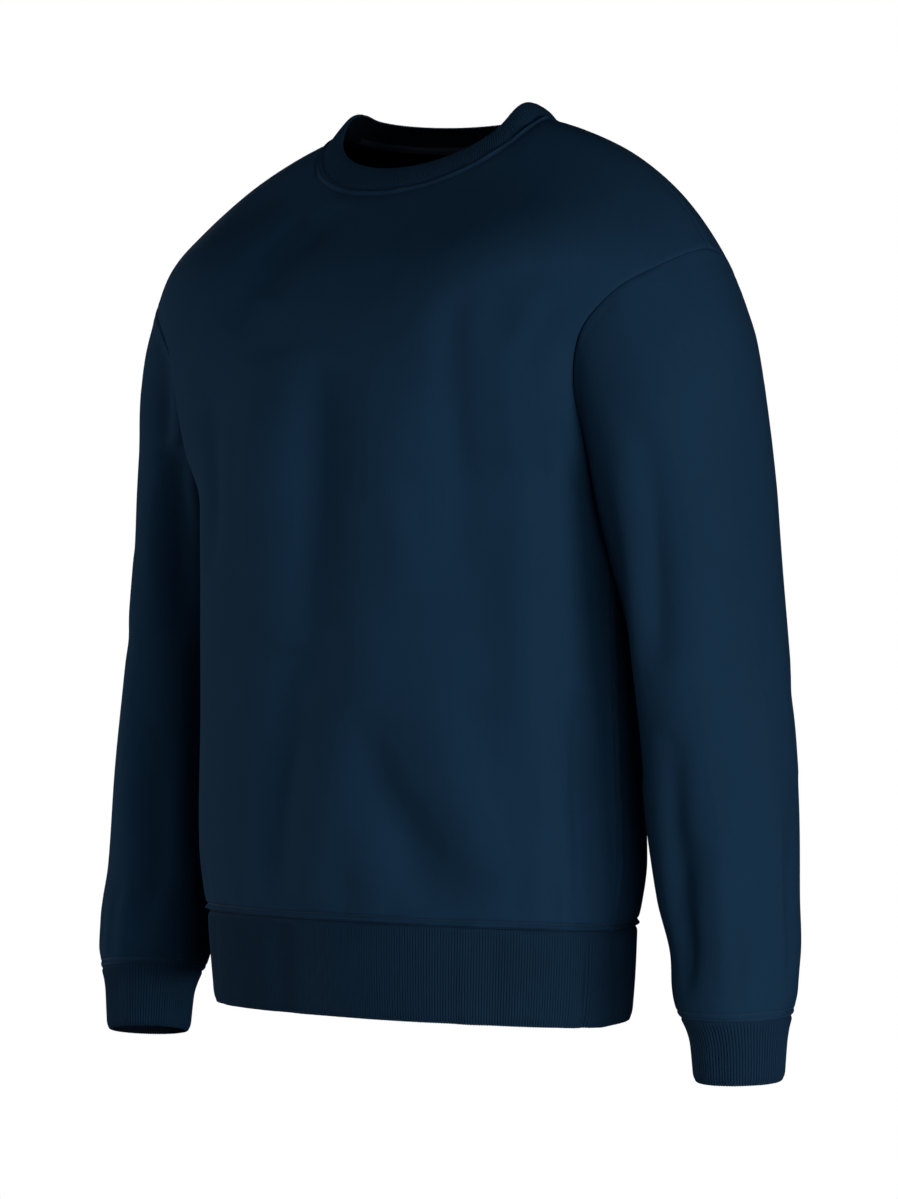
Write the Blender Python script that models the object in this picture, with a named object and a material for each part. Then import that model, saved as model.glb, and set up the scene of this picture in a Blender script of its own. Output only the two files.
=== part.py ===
"""A crewneck sweatshirt, filled out as it is worn, with nobody in it.

Metres, +Z up. +X is the wearer's left and -Y is the front. The origin is the middle of the neck
opening, at the height where the shoulder seams meet the neckband. The cloth is a thin wall, open at
the neck, hem, cuffs and armholes. Every cut piece is one object, sewn edges lie 0.3 mm apart, and
the knit ribs are raised on the outside of the bands.
"""

import math
from collections import namedtuple

import bpy
import numpy as np

BODY_CLOTH = 0.0020
RIB_CLOTH = 0.0022
BAND_CLOTH = 0.0030
TAPE_CLOTH = 0.0008
SEAM_GAP = 0.0003

NECK_HALF_WIDTH = 0.103
FRONT_NECK_DROP = 0.055
BACK_NECK_DROP = 0.012
NECK_ROUNDNESS = 2.0
BAND_RISE = 0.0175
BAND_LEAN = 0.0125
FRONT_LEAN_LESS = 0.002
BACK_LEAN_LESS = 0.012
FRONT_RISE_MORE = 0.0015
BACK_RISE_MORE = 0.0040
BAND_BULGE = 0.0012
TAPE_WIDTH = 0.0055
TAPE_ABOVE_SEAM = 0.0003
TAPE_REACH = 0.25
HEM_HEIGHT = 0.073
HEM_TUCK = 0.028
CUFF_SEAM = -0.687
CUFF_MIDDLE = -0.702
BODY_MIDDLE_Y = -0.036
BODY_MIDDLE_Z = -0.350
SLEEVE_BLEND = 0.16

RIB_HEIGHT = 0.0005
HEM_RIBS = 480
CUFF_RIBS = 100
BAND_RIBS = 250
HEM_INNER = 96
CUFF_INNER = 40
BAND_INNER = 50

NECK_COLUMNS = 6
SHOULDER_COLUMNS = 8
SIDE_ROWS = 9
ARMHOLE_ROWS = 10
SLEEVE_ROWS = 15
HEM_CROWDING = 1.25
CROWDING = 0.085

Section = namedtuple(
    "Section", "name v centre_y centre_z edge_x edge_y edge_z heading dip fill"
)
SECTIONS = (
    Section("front_hem", -1.00, -0.171, -0.622, 0.190, -0.036, -0.630, 90, 3, 0.55),
    Section("front_low", -0.88, -0.176, -0.570, 0.197, -0.035, -0.576, 90, 2, 0.56),
    Section("front_waist", -0.70, -0.182, -0.478, 0.194, -0.035, -0.482, 90, 1, 0.56),
    Section("front_rib", -0.54, -0.188, -0.390, 0.191, -0.036, -0.392, 90, 0, 0.56),
    Section("front_pit", -0.38, -0.189, -0.300, 0.190, -0.036, -0.302, 90, 0, 0.56),
    Section("front_fold", -0.31, -0.187, -0.258, 0.195, -0.070, -0.262, 88, 0, 0.52),
    Section("front_lap", -0.24, -0.180, -0.215, 0.199, -0.092, -0.215, 78, 5, 0.48),
    Section("front_chest", -0.18, -0.168, -0.172, 0.211, -0.100, -0.178, 58, 18, 0.48),
    Section("front_cap", -0.12, -0.143, -0.124, 0.235, -0.090, -0.147, 40, 34, 0.52),
    Section("front_yoke", -0.06, -0.080, -0.058, 0.254, -0.062, -0.128, 22, 54, 0.46),
    Section("ridge", 0.00, -0.004, 0.011, 0.266, -0.012, -0.112, 0, 61, 0.40),
    Section("back_yoke", 0.06, 0.067, -0.025, 0.256, 0.034, -0.129, -22, 49, 0.44),
    Section("back_cap", 0.12, 0.100, -0.090, 0.237, 0.062, -0.155, -42, 34, 0.46),
    Section("back_blade", 0.18, 0.112, -0.150, 0.220, 0.070, -0.187, -60, 18, 0.46),
    Section("back_lap", 0.24, 0.116, -0.205, 0.206, 0.046, -0.225, -78, 5, 0.50),
    Section("back_fold", 0.31, 0.115, -0.258, 0.196, 0.000, -0.262, -88, 0, 0.53),
    Section("back_pit", 0.38, 0.112, -0.304, 0.190, -0.036, -0.302, -90, 0, 0.56),
    Section("back_rib", 0.54, 0.106, -0.394, 0.191, -0.036, -0.392, -90, 0, 0.56),
    Section("back_waist", 0.70, 0.102, -0.486, 0.194, -0.035, -0.482, -90, 1, 0.56),
    Section("back_low", 0.88, 0.103, -0.582, 0.197, -0.035, -0.576, -90, 2, 0.56),
    Section("back_hem", 1.00, 0.099, -0.638, 0.190, -0.036, -0.630, -90, 3, 0.55),
)
PIT_V = 0.38

Ring = namedtuple("Ring", "z out_x across centre_y depth")
SLEEVE_RINGS = (
    Ring(-0.112, 0.258, 0.050, -0.012, 0.080),
    Ring(-0.146, 0.273, 0.053, -0.012, 0.087),
    Ring(-0.180, 0.285, 0.053, -0.011, 0.088),
    Ring(-0.215, 0.291, 0.051, -0.010, 0.086),
    Ring(-0.260, 0.295, 0.050, -0.007, 0.083),
    Ring(-0.330, 0.303, 0.052, -0.006, 0.078),
    Ring(-0.430, 0.318, 0.054, -0.008, 0.071),
    Ring(-0.527, 0.331, 0.054, -0.011, 0.066),
    Ring(-0.600, 0.338, 0.051, -0.016, 0.058),
    Ring(-0.645, 0.344, 0.046, -0.022, 0.052),
    Ring(-0.668, 0.344, 0.0445, -0.025, 0.0498),
    Ring(-0.680, 0.3426, 0.0421, -0.0262, 0.0472),
    Ring(-0.687, 0.3420, 0.0400, -0.0270, 0.0448),
    Ring(-0.697, 0.3396, 0.0361, -0.0272, 0.0404),
    Ring(-0.708, 0.3385, 0.0338, -0.0275, 0.0378),
    Ring(-0.740, 0.3376, 0.0320, -0.0280, 0.0358),
)

# A fold runs through three places. On a panel, across is the share of the way from the middle to the
# side, with a minus on the wearer's right. On a sleeve it is the angle from the outer side towards the
# front, in degrees. A minus depth is a ridge.
Fold = namedtuple("Fold", "name across_1 z_1 across_2 z_2 across_3 z_3 width depth")
FRONT_FOLDS = (
    Fold("neck_drape", -0.09, -0.068, -0.13, -0.101, -0.19, -0.142, 0.019, 0.0050),
    Fold("middle_upper", 0.15, -0.190, 0.115, -0.300, 0.11, -0.400, 0.027, 0.0080),
    Fold("middle_lower", 0.11, -0.370, 0.05, -0.460, -0.07, -0.625, 0.025, 0.0080),
    Fold("middle_ridge", -0.08, -0.180, -0.02, -0.290, -0.01, -0.420, 0.028, -0.0055),
    Fold("right_side", -0.35, -0.200, -0.35, -0.280, -0.34, -0.360, 0.018, 0.0040),
    Fold("left_diagonal", 0.29, -0.520, 0.37, -0.570, 0.50, -0.622, 0.020, 0.0060),
    Fold("left_chest", 0.68, -0.125, 0.68, -0.220, 0.63, -0.360, 0.030, 0.0060),
    Fold("left_ridge", 0.86, -0.220, 0.74, -0.390, 0.70, -0.600, 0.028, -0.0055),
    Fold("left_side", 0.87, -0.440, 0.87, -0.540, 0.88, -0.628, 0.018, 0.0055),
    Fold("right_armpit", -0.95, -0.235, -0.80, -0.275, -0.62, -0.330, 0.018, 0.0040),
)
BACK_FOLDS = (
    Fold("left_drape", 0.50, -0.130, 0.42, -0.250, 0.38, -0.400, 0.028, 0.0070),
    Fold("right_drape", -0.45, -0.120, -0.52, -0.230, -0.42, -0.380, 0.026, 0.0070),
    Fold("middle_low", -0.05, -0.310, 0.02, -0.430, -0.04, -0.610, 0.028, 0.0060),
    Fold("left_ridge", 0.20, -0.210, 0.22, -0.360, 0.15, -0.580, 0.030, -0.0055),
    Fold("right_low", -0.40, -0.450, -0.30, -0.530, -0.26, -0.632, 0.022, 0.0060),
    Fold("left_low", 0.62, -0.500, 0.55, -0.560, 0.50, -0.630, 0.020, 0.0055),
    Fold("left_armpit", 0.95, -0.245, 0.80, -0.285, 0.62, -0.335, 0.018, 0.0040),
    Fold("right_armpit", -0.95, -0.240, -0.83, -0.280, -0.66, -0.315, 0.018, 0.0035),
)
LEFT_FOLDS = (
    Fold("front_trough", 54, -0.250, 64, -0.330, 80, -0.430, 0.018, 0.0050),
    Fold("inner_low", 72, -0.550, 88, -0.600, 102, -0.665, 0.014, 0.0040),
    Fold("outer_low", 330, -0.500, 345, -0.570, 355, -0.665, 0.020, 0.0040),
    Fold("elbow", 255, -0.400, 285, -0.440, 320, -0.430, 0.020, 0.0040),
    Fold("back_trough", 280, -0.200, 268, -0.290, 262, -0.390, 0.020, 0.0045),
    Fold("inner_middle", 130, -0.360, 140, -0.440, 135, -0.520, 0.018, 0.0035),
)
RIGHT_FOLDS = (
    Fold("front_trough", 92, -0.250, 110, -0.330, 126, -0.420, 0.020, 0.0055),
    Fold("front_upper", 58, -0.175, 76, -0.215, 84, -0.265, 0.016, 0.0035),
    Fold("front_low", 106, -0.520, 116, -0.580, 126, -0.660, 0.016, 0.0045),
    Fold("elbow", 248, -0.380, 280, -0.410, 312, -0.400, 0.020, 0.0040),
    Fold("back_trough", 272, -0.210, 262, -0.310, 270, -0.420, 0.020, 0.0045),
    Fold("outer_low", 335, -0.530, 350, -0.590, 352, -0.665, 0.018, 0.0035),
)
# An arm's end is lifted at its front and at its inner side by some degrees, because the forearm points
# forward and in.
Arm = namedtuple("Arm", "name front_lift inner_lift cuff_end folds")
LEFT_ARM = Arm("left", -1.0, 0.0, -0.735, LEFT_FOLDS)
RIGHT_ARM = Arm("right", 9.0, 7.0, -0.738, RIGHT_FOLDS)
PANEL_HALF_GIRTH = 0.262
SLEEVE_RADIUS = 0.070
SIDE_FADE = 0.12
TOP_FADE = 0.06
ARMHOLE_FADE = 0.08
CUFF_FADE = 0.035
TAPER = 0.7
STEP = 0.0005


def slopes(at, values):
    """Slopes for a smooth curve through a table's values, which never overshoots them."""
    step = np.diff(at)
    rise = np.diff(values) / step
    slope = np.zeros(len(values))
    for i in range(1, len(values) - 1):
        before, after = rise[i - 1], rise[i]
        if before * after > 0:
            a = 2 * step[i] + step[i - 1]
            b = step[i] + 2 * step[i - 1]
            slope[i] = (a + b) / (a / before + b / after)
    slope[0], slope[-1] = rise[0], rise[-1]
    return slope


def read_column(table, key, name, where, sign=1):
    """One column of a table, read between its rows by a smooth curve."""
    at = np.array([sign * getattr(row, key) for row in table])
    values = np.array([getattr(row, name) for row in table])
    slope = slopes(at, values)
    where = sign * np.asarray(where, float)
    i = np.clip(np.searchsorted(at, where, side="right") - 1, 0, len(at) - 2)
    step = at[i + 1] - at[i]
    t = np.clip((where - at[i]) / step, 0, 1)
    return (
        values[i] * (1 + 2 * t) * (1 - t) ** 2
        + slope[i] * step * t * (1 - t) ** 2
        + values[i + 1] * t**2 * (3 - 2 * t)
        + slope[i + 1] * step * t**2 * (t - 1)
    )


def smooth(share):
    """Eases from 0 to 1."""
    share = np.clip(share, 0, 1)
    return share**2 * (3 - 2 * share)


def unit(vectors):
    return vectors / np.maximum(np.linalg.norm(vectors, axis=-1, keepdims=True), 1e-12)


def dot(a, b):
    return (a * b).sum(-1, keepdims=True)


def body_point(u, v):
    """The body: u runs from the middle line, 0, to a side or armhole, 1, and is minus on the right."""
    u, v = np.broadcast_arrays(np.asarray(u, float), np.asarray(v, float))
    read = {
        name: read_column(SECTIONS, "v", name, v) for name in Section._fields[2:]
    }
    centre = np.stack([0 * v, read["centre_y"], read["centre_z"]], -1)
    edge = np.stack([read["edge_x"], read["edge_y"], read["edge_z"]], -1)
    heading = np.radians(read["heading"])
    dip = np.radians(read["dip"])
    end = np.stack(
        [np.cos(heading) * np.cos(dip), np.sin(heading) * np.cos(dip), -np.sin(dip)], -1
    )
    fill = read["fill"][..., None]
    reach = np.abs(dot(edge - centre, end))
    first = centre + fill * (edge - centre)[..., :1] * np.array([1.0, 0, 0])
    last = edge - fill * reach * end
    t = np.abs(u)[..., None]
    point = (
        centre * (1 - t) ** 3
        + 3 * first * t * (1 - t) ** 2
        + 3 * last * t**2 * (1 - t)
        + edge * t**3
    )
    point[..., 0] *= np.where(u < 0, -1.0, 1.0)
    return point


def surface_frame(surface, a, b, step_a, step_b):
    """Unit tangents and the unit normal of a surface, by small steps."""
    along_a = unit(surface(a + step_a, b) - surface(a - step_a, b))
    along_b = unit(surface(a, b + step_b) - surface(a, b - step_b))
    return along_a, along_b, unit(np.cross(along_a, along_b))


def body_frame(u, v):
    """Tangents across and along the body, and its outward normal."""
    inside = np.clip(np.abs(u), 2 * STEP, 1 - 2 * STEP) * np.where(u < 0, -1.0, 1.0)
    v = np.clip(v, STEP - 1, 1 - STEP)
    across, along, normal = surface_frame(body_point, inside, v, STEP, STEP)
    middle = np.array([0.0, BODY_MIDDLE_Y, BODY_MIDDLE_Z])
    facing = dot(normal, body_point(inside, v) - middle)
    return across, along, normal * np.where(facing < 0, -1.0, 1.0)


def tube_point(turn, z):
    """The sleeve's tube: turn 0 is its outer side, and a quarter turn its front."""
    turn, z = np.broadcast_arrays(np.asarray(turn, float), np.asarray(z, float))
    read = {
        name: read_column(SLEEVE_RINGS, "z", name, z, -1) for name in Ring._fields[1:]
    }
    x = read["out_x"] - read["across"] * (1 - np.cos(turn))
    y = read["centre_y"] - read["depth"] * np.sin(turn)
    return np.stack([x, y, z], -1)


def lift_end(point, turn, share, arm):
    """Tilts the end of a sleeve or cuff by a share of its arm's lift."""
    z = point[..., 2]
    depth = read_column(SLEEVE_RINGS, "z", "depth", z, -1)
    across = read_column(SLEEVE_RINGS, "z", "across", z, -1)
    front = math.tan(math.radians(arm.front_lift)) * depth * np.sin(turn)
    inner = math.tan(math.radians(arm.inner_lift)) * across * -np.cos(turn)
    point[..., 2] = z + share * (front + inner)
    return point


def armhole_v(turn):
    """Where along the body the armhole is at a turn: 0 at the shoulder, and half a turn underneath."""
    share = np.where(turn <= math.pi, -turn, 2 * math.pi - turn) / math.pi
    return PIT_V * share


def sleeve_point(turn, w, arm=LEFT_ARM):
    """A sleeve as on the left, from its armhole at w 0 to its cuff seam at w 1."""
    turn, w = np.broadcast_arrays(np.asarray(turn, float), np.asarray(w, float))
    start = body_point(1.0, armhole_v(np.mod(turn, 2 * math.pi)))
    top = start[..., 2]
    z = top + (CUFF_SEAM - top) * w
    gap = start - tube_point(turn, top)
    fade = 1 - smooth((top - z) / SLEEVE_BLEND)
    point = tube_point(turn, z) + gap * fade[..., None]
    return lift_end(point, turn, w**4, arm)


def sleeve_frame(turn, w, arm=LEFT_ARM):
    """The tangent down the sleeve, and its outward normal."""

    def surface(a, b):
        return sleeve_point(a, b, arm)

    w = np.clip(w, 4 * STEP, 1 - 4 * STEP)
    _, down, normal = surface_frame(surface, turn, w, 4 * STEP, 4 * STEP)
    outward = np.where(dot(normal, surface(turn, w) - sleeve_axis(w, arm)) < 0, -1.0, 1.0)
    return down, normal * outward


def sleeve_axis(w, arm):
    """The middle of the sleeve, at the same share of its length."""
    rings = [sleeve_point(turn, w, arm) for turn in np.linspace(0, 2 * math.pi, 8, False)]
    return sum(rings) / len(rings)


def fold_relief(folds, across, z, scale):
    """How far the folds raise the cloth, at each point. A trough is minus."""
    relief = np.zeros(np.broadcast(across, z).shape)
    steps = np.linspace(0, 1, 25)
    for fold in folds:
        a = fold.across_1, fold.across_2, fold.across_3
        b = fold.z_1, fold.z_2, fold.z_3
        weights = (1 - steps) * (1 - 2 * steps), 4 * steps * (1 - steps), steps * (2 * steps - 1)
        line_a = sum(weight * value for weight, value in zip(weights, a))
        line_b = sum(weight * value for weight, value in zip(weights, b))
        away = np.hypot((across[..., None] - line_a) * scale, z[..., None] - line_b)
        nearest = away.argmin(-1)
        taper = (4 * steps * (1 - steps))[nearest] ** TAPER
        relief -= fold.depth * taper * np.exp(-((away.min(-1) / fold.width) ** 2))
    return relief


def body_relief(u, v, z):
    """The folds of the front or back panel, faded out at its sides, shoulders and neck."""
    front = fold_relief(FRONT_FOLDS, u, z, PANEL_HALF_GIRTH)
    back = fold_relief(BACK_FOLDS, u, z, PANEL_HALF_GIRTH)
    side = smooth((1 - np.abs(u)) / SIDE_FADE)
    top = smooth(np.abs(v) / TOP_FADE)
    return np.where(v < 0, front, back) * side * top


def sleeve_relief(folds, turn, w, z):
    """The folds of one sleeve, faded out at its armhole and cuff seams."""
    degrees = np.degrees(turn)
    ends = smooth(w / ARMHOLE_FADE) * smooth((1 - w) / CUFF_FADE)
    relief = fold_relief(folds, degrees, z, SLEEVE_RADIUS * math.radians(1))
    relief += fold_relief(folds, degrees - 360, z, SLEEVE_RADIUS * math.radians(1))
    return relief * ends


def shoulder_share():
    """The u of the neck's side point, on the shoulder seam."""
    low, high = 0.0, 1.0
    for _ in range(40):
        middle = (low + high) / 2
        if body_point(middle, 0.0)[0] < NECK_HALF_WIDTH:
            low = middle
        else:
            high = middle
    return (low + high) / 2


NECK_U = shoulder_share()
NECK_SIDE_Z = float(body_point(NECK_U, 0.0)[2])


def neck_v(u, front):
    """Where the neck seam crosses the column of the front or back panel at u."""
    drop = FRONT_NECK_DROP if front else BACK_NECK_DROP
    sign = -1 if front else 1
    near, far = np.zeros_like(u), np.full_like(u, PIT_V / 2)
    for _ in range(40):
        middle = (near + far) / 2
        point = body_point(u, sign * middle)
        share = np.clip(np.abs(point[..., 0]) / NECK_HALF_WIDTH, 0, 1)
        seam = NECK_SIDE_Z - drop * (1 - share**NECK_ROUNDNESS) ** (1 / NECK_ROUNDNESS)
        inside = (point[..., 2] > seam) & (share < 1)
        near = np.where(inside, middle, near)
        far = np.where(inside, far, middle)
    return sign * np.where(np.abs(u) < NECK_U - 1e-9, (near + far) / 2, 0.0)


def top_columns():
    """The u of each column of a panel at its top, from the wearer's right to the left."""
    neck = NECK_U * np.sin(np.linspace(0, math.pi / 2, NECK_COLUMNS + 1))
    half = np.concatenate([neck, np.linspace(NECK_U, 1, SHOULDER_COLUMNS + 1)[1:]])
    return np.concatenate([-half[::-1], half[1:]])


def panel_grid(front):
    """The u and v of each point of a panel: rows from the hem up to the neck and shoulders."""
    top = top_columns()
    even = np.linspace(-1, 1, len(top))
    side = 1 - (1 - PIT_V) * np.linspace(0, 1, SIDE_ROWS + 1) ** HEM_CROWDING
    top_v = np.abs(neck_v(top, front))
    share = np.linspace(0, 1, ARMHOLE_ROWS + 1)[1:, None]
    upper_v = PIT_V + (top_v - PIT_V) * share
    upper_u = even + (top - even) * share**2
    v = np.concatenate([np.repeat(side[:, None], len(top), 1), upper_v])
    u = np.concatenate([np.repeat(even[None, :], len(side), 0), upper_u])
    return u, v if not front else -v


def seam_shift(inward, normal, other_inward, other_normal):
    """How a sewn edge moves off its seam line, and the direction that its thickness takes."""
    crease = dot(inward + other_inward, normal + other_normal)
    closing = np.clip(np.linalg.norm(inward + other_inward, axis=-1, keepdims=True) / 2, 0, 1)
    closing = np.where(crease > 0, closing, 0)
    thick = np.where(crease > 0, normal, unit(normal + other_normal))
    shift = SEAM_GAP / 2 * (inward - normal * closing)
    return shift, thick


def mirrored(points):
    return points * np.array([-1.0, 1.0, 1.0])


def armhole_frames(v):
    """At the left armhole: the body's inward tangent and normal, and the sleeve's."""
    across, _, normal = body_frame(np.ones_like(v), v)
    turn = np.where(v <= 0, -v, 2 * PIT_V - v) / PIT_V * math.pi
    down, sleeve_normal = sleeve_frame(turn, np.zeros_like(turn))
    return -across, normal, down, sleeve_normal


def panel_surface(front):
    """Outer and inner points of a panel, with each sewn edge set back from its seam line."""
    u, v = panel_grid(front)
    across, along, normal = body_frame(u, v)
    base = body_point(u, v)
    outer = base + normal * body_relief(u, v, base[..., 2])[..., None]
    thick = normal.copy()
    sign = 1 if front else -1
    down = -along * sign
    outer[0] -= down[0] * SEAM_GAP / 2
    outer[-1] += down[-1] * SEAM_GAP / 2
    pit = SIDE_ROWS
    for column, side in ((0, -1.0), (-1, 1.0)):
        outer[:pit, column] -= side * across[:pit, column] * SEAM_GAP / 2
        arm_v = v[pit:, column]
        inward, body_normal, sleeve_down, sleeve_normal = armhole_frames(arm_v)
        shift, lean = seam_shift(inward, body_normal, sleeve_down, sleeve_normal)
        if side < 0:
            shift, lean = mirrored(shift), mirrored(lean)
        outer[pit:, column] += shift
        thick[pit:, column] = lean
    return outer, outer - thick * BODY_CLOTH


def sleeve_surface(arm):
    """Outer and inner points of a sleeve as on the left, rows down from the armhole."""
    count = 2 * ARMHOLE_ROWS
    turn, share = np.meshgrid(
        np.arange(count) * 2 * math.pi / count, np.linspace(0, 1, SLEEVE_ROWS + 1)
    )
    w = share - CROWDING * np.sin(2 * math.pi * share)
    down, normal = sleeve_frame(turn, w, arm)
    base = sleeve_point(turn, w, arm)
    outer = base + normal * sleeve_relief(arm.folds, turn, w, base[..., 2])[..., None]
    thick = normal.copy()
    v = armhole_v(turn[0])
    inward, body_normal, sleeve_down, sleeve_normal = armhole_frames(v)
    shift, lean = seam_shift(sleeve_down, sleeve_normal, inward, body_normal)
    outer[0] += shift
    thick[0] = lean
    outer[-1] -= down[-1] * SEAM_GAP / 2
    return outer, outer - thick * BODY_CLOTH


def along_ring(ring, count):
    """Points at even steps along a closed line, their outward directions, and the corners passed."""
    closed = np.concatenate([ring, ring[:1]])
    outward = level_normal(ring)
    turned = np.concatenate([outward, outward[:1]])
    steps = np.linalg.norm(np.diff(closed, axis=0), axis=1)
    length = np.concatenate([[0], np.cumsum(steps)])
    at = np.arange(count) / count * length[-1]
    points = np.stack([np.interp(at, length, closed[:, i]) for i in range(3)], 1)
    normals = np.stack([np.interp(at, length, turned[:, i]) for i in range(3)], 1)
    return points, unit(normals), np.interp(at, length, np.arange(len(closed)))


def hem_line():
    """The seam line at the bottom of the body, all round, as the panels' lower edges have it."""
    halves = []
    for front in (True, False):
        u, v = panel_grid(front)
        base = body_point(u[0], v[0])
        _, _, normal = body_frame(u[0], v[0])
        halves.append(base + normal * body_relief(u[0], v[0], base[..., 2])[..., None])
    return np.concatenate([halves[0], halves[1][::-1][1:-1]])


def cuff_line(arm):
    """The seam line at the end of a sleeve as on the left."""
    turn = np.arange(2 * ARMHOLE_ROWS) * math.pi / ARMHOLE_ROWS
    return sleeve_point(turn, 1.0, arm)


def neck_line():
    """The seam line round the neck, as the panels' upper edges have it."""
    halves = []
    for front in (True, False):
        columns = top_columns()
        columns = columns[np.abs(columns) <= NECK_U + 1e-9]
        halves.append(body_point(columns, neck_v(columns, front)))
    return np.concatenate([halves[0], halves[1][::-1][1:-1]])


def level_normal(ring):
    """Outward and level directions at the points of a closed line."""
    ahead = unit(np.roll(ring, -1, 0) - ring)
    tangent = ahead + np.roll(ahead, 1, 0)
    side = np.stack([tangent[:, 1], -tangent[:, 0], 0 * tangent[:, 0]], 1)
    away = ring - ring.mean(0)
    side *= np.where(dot(side[:, :2], away[:, :2]) < 0, -1.0, 1.0)
    return unit(side)


def hem_rows(count):
    """Upper and lower outer points of the hem band, and their outward directions."""
    top, normals, _ = along_ring(hem_line(), count)
    middle = np.array([0.0, BODY_MIDDLE_Y, 0.0])
    low = middle + (top - middle) * np.array([1 - HEM_TUCK, 1 - HEM_TUCK, 1.0])
    low[:, 2] -= HEM_HEIGHT
    top[:, 2] -= SEAM_GAP / 2
    return [top, low], normals


def cuff_rows(arm, count):
    """Upper, middle and lower outer points of a cuff as on the left, and their outward directions."""
    top, normals, corner = along_ring(cuff_line(arm), count)
    turn = corner * math.pi / ARMHOLE_ROWS
    middle, end = (
        lift_end(tube_point(turn, z), turn, 1.0, arm) for z in (CUFF_MIDDLE, arm.cuff_end)
    )
    return [top + unit(middle - top) * SEAM_GAP / 2, middle, end], normals


def band_rows(count):
    """Seam and rim points of the neckband, and its outward directions."""
    seam, level, _ = along_ring(neck_line(), count)
    facing = np.clip(-level[:, 1:2], 0, 1) ** 2
    behind = np.clip(level[:, 1:2], 0, 1) ** 2
    lean = BAND_LEAN - FRONT_LEAN_LESS * facing - BACK_LEAN_LESS * behind
    rise = BAND_RISE + FRONT_RISE_MORE * facing + BACK_RISE_MORE * behind
    upright = np.array([0.0, 0.0, 1.0])
    rim = seam - level * lean + upright * rise
    up = unit(rim - seam)
    normal = unit(level * rise + upright * lean)
    start = seam + up * SEAM_GAP / 2 - normal * SEAM_GAP / 2
    return [start, (seam + rim) / 2 + BAND_BULGE * normal, rim], normal


def rim_faces(fine, coarse, flip):
    """Joins a row of many points to a row of few, round a closed edge."""
    ratio = len(fine) // len(coarse)
    faces = []
    for i in range(len(coarse)):
        here, ahead = coarse[i], coarse[(i + 1) % len(coarse)]
        for k in range(ratio):
            a = fine[(i * ratio + k) % len(fine)]
            b = fine[(i * ratio + k + 1) % len(fine)]
            faces.append((a, b, here if k < ratio // 2 else ahead))
        faces.append((fine[(i * ratio + ratio // 2) % len(fine)], ahead, here))
    return [face[::-1] for face in faces] if flip else faces


def round_faces(start, rows, columns, flip):
    """Faces between rows that close on themselves."""
    faces = []
    for i in range(rows - 1):
        for j in range(columns):
            k = (j + 1) % columns
            a, b = start + i * columns + j, start + i * columns + k
            c, d = a + columns, b + columns
            faces.append((a, c, d, b) if flip else (a, b, d, c))
    return faces


def ribbed_ring(rows, normals, ribs, inner_count, thickness):
    """A closed band with raised ribs outside and a plain inside. Returns points and faces."""
    count = 2 * ribs
    ridge = (np.arange(count) % 2 == 0)[:, None] * RIB_HEIGHT
    outer = [row + normals * ridge for row in rows]
    step = count // inner_count
    inner = [row[::step] - normals[::step] * thickness for row in rows]
    points = np.concatenate(outer + inner)
    first_inner = len(rows) * count
    faces = round_faces(0, len(rows), count, False)
    faces += round_faces(first_inner, len(rows), inner_count, True)
    last = (len(rows) - 1) * count
    last_inner = first_inner + (len(rows) - 1) * inner_count
    faces += rim_faces(range(count), range(first_inner, first_inner + inner_count), True)
    faces += rim_faces(
        range(last, last + count), range(last_inner, last_inner + inner_count), False
    )
    return points, faces


def sheet_wall(outer, inner):
    """A wall between two open grids. Returns points and faces."""
    rows, columns = outer.shape[:2]
    size = rows * columns
    faces = []
    for i in range(rows - 1):
        for j in range(columns - 1):
            a = i * columns + j
            b, c, d = a + 1, a + columns, a + columns + 1
            faces.append((a, b, d, c))
            faces.append((a + size, c + size, d + size, b + size))
    edge = [(0, j) for j in range(columns)]
    edge += [(i, columns - 1) for i in range(1, rows)]
    edge += [(rows - 1, j) for j in range(columns - 2, -1, -1)]
    edge += [(i, 0) for i in range(rows - 2, 0, -1)]
    ring = [i * columns + j for i, j in edge]
    for a, b in zip(ring, ring[1:] + ring[:1]):
        faces.append((b, a, a + size, b + size))
    return np.concatenate([outer.reshape(-1, 3), inner.reshape(-1, 3)]), faces


def tube_wall(outer, inner):
    """A wall between two grids that close on themselves. Returns points and faces."""
    rows, columns = outer.shape[:2]
    size = rows * columns
    faces = round_faces(0, rows, columns, False)
    faces += round_faces(size, rows, columns, True)
    for row, flip in ((0, True), (rows - 1, False)):
        for j in range(columns):
            a, b = row * columns + j, row * columns + (j + 1) % columns
            face = (a, b, b + size, a + size)
            faces.append(face[::-1] if flip else face)
    return np.concatenate([outer.reshape(-1, 3), inner.reshape(-1, 3)]), faces


def tape_wall():
    """The tape inside the back of the neck, on the band's own points moved inward."""
    count = 2 * BAND_RIBS
    rows, normals = band_rows(count)
    step = count // BAND_INNER
    seam, rim = rows[0][::step], rows[-1][::step]
    normal = normals[::step]
    behind = np.nonzero(normal[:, 1] > TAPE_REACH)[0]
    up = unit(rim - seam)[behind]
    low = seam[behind] - normal[behind] * (BAND_CLOTH + SEAM_GAP) + up * TAPE_ABOVE_SEAM
    high = low + up * TAPE_WIDTH
    outer = np.stack([low, high])
    inner = outer - normal[behind] * TAPE_CLOTH
    return sheet_wall(outer, inner)


def signed_volume(points, faces):
    """Six times the volume that the faces close in, which is minus when they face inward."""
    total = 0.0
    for face in faces:
        for k in range(1, len(face) - 1):
            total += np.dot(points[face[0]], np.cross(points[face[k]], points[face[k + 1]]))
    return total


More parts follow.
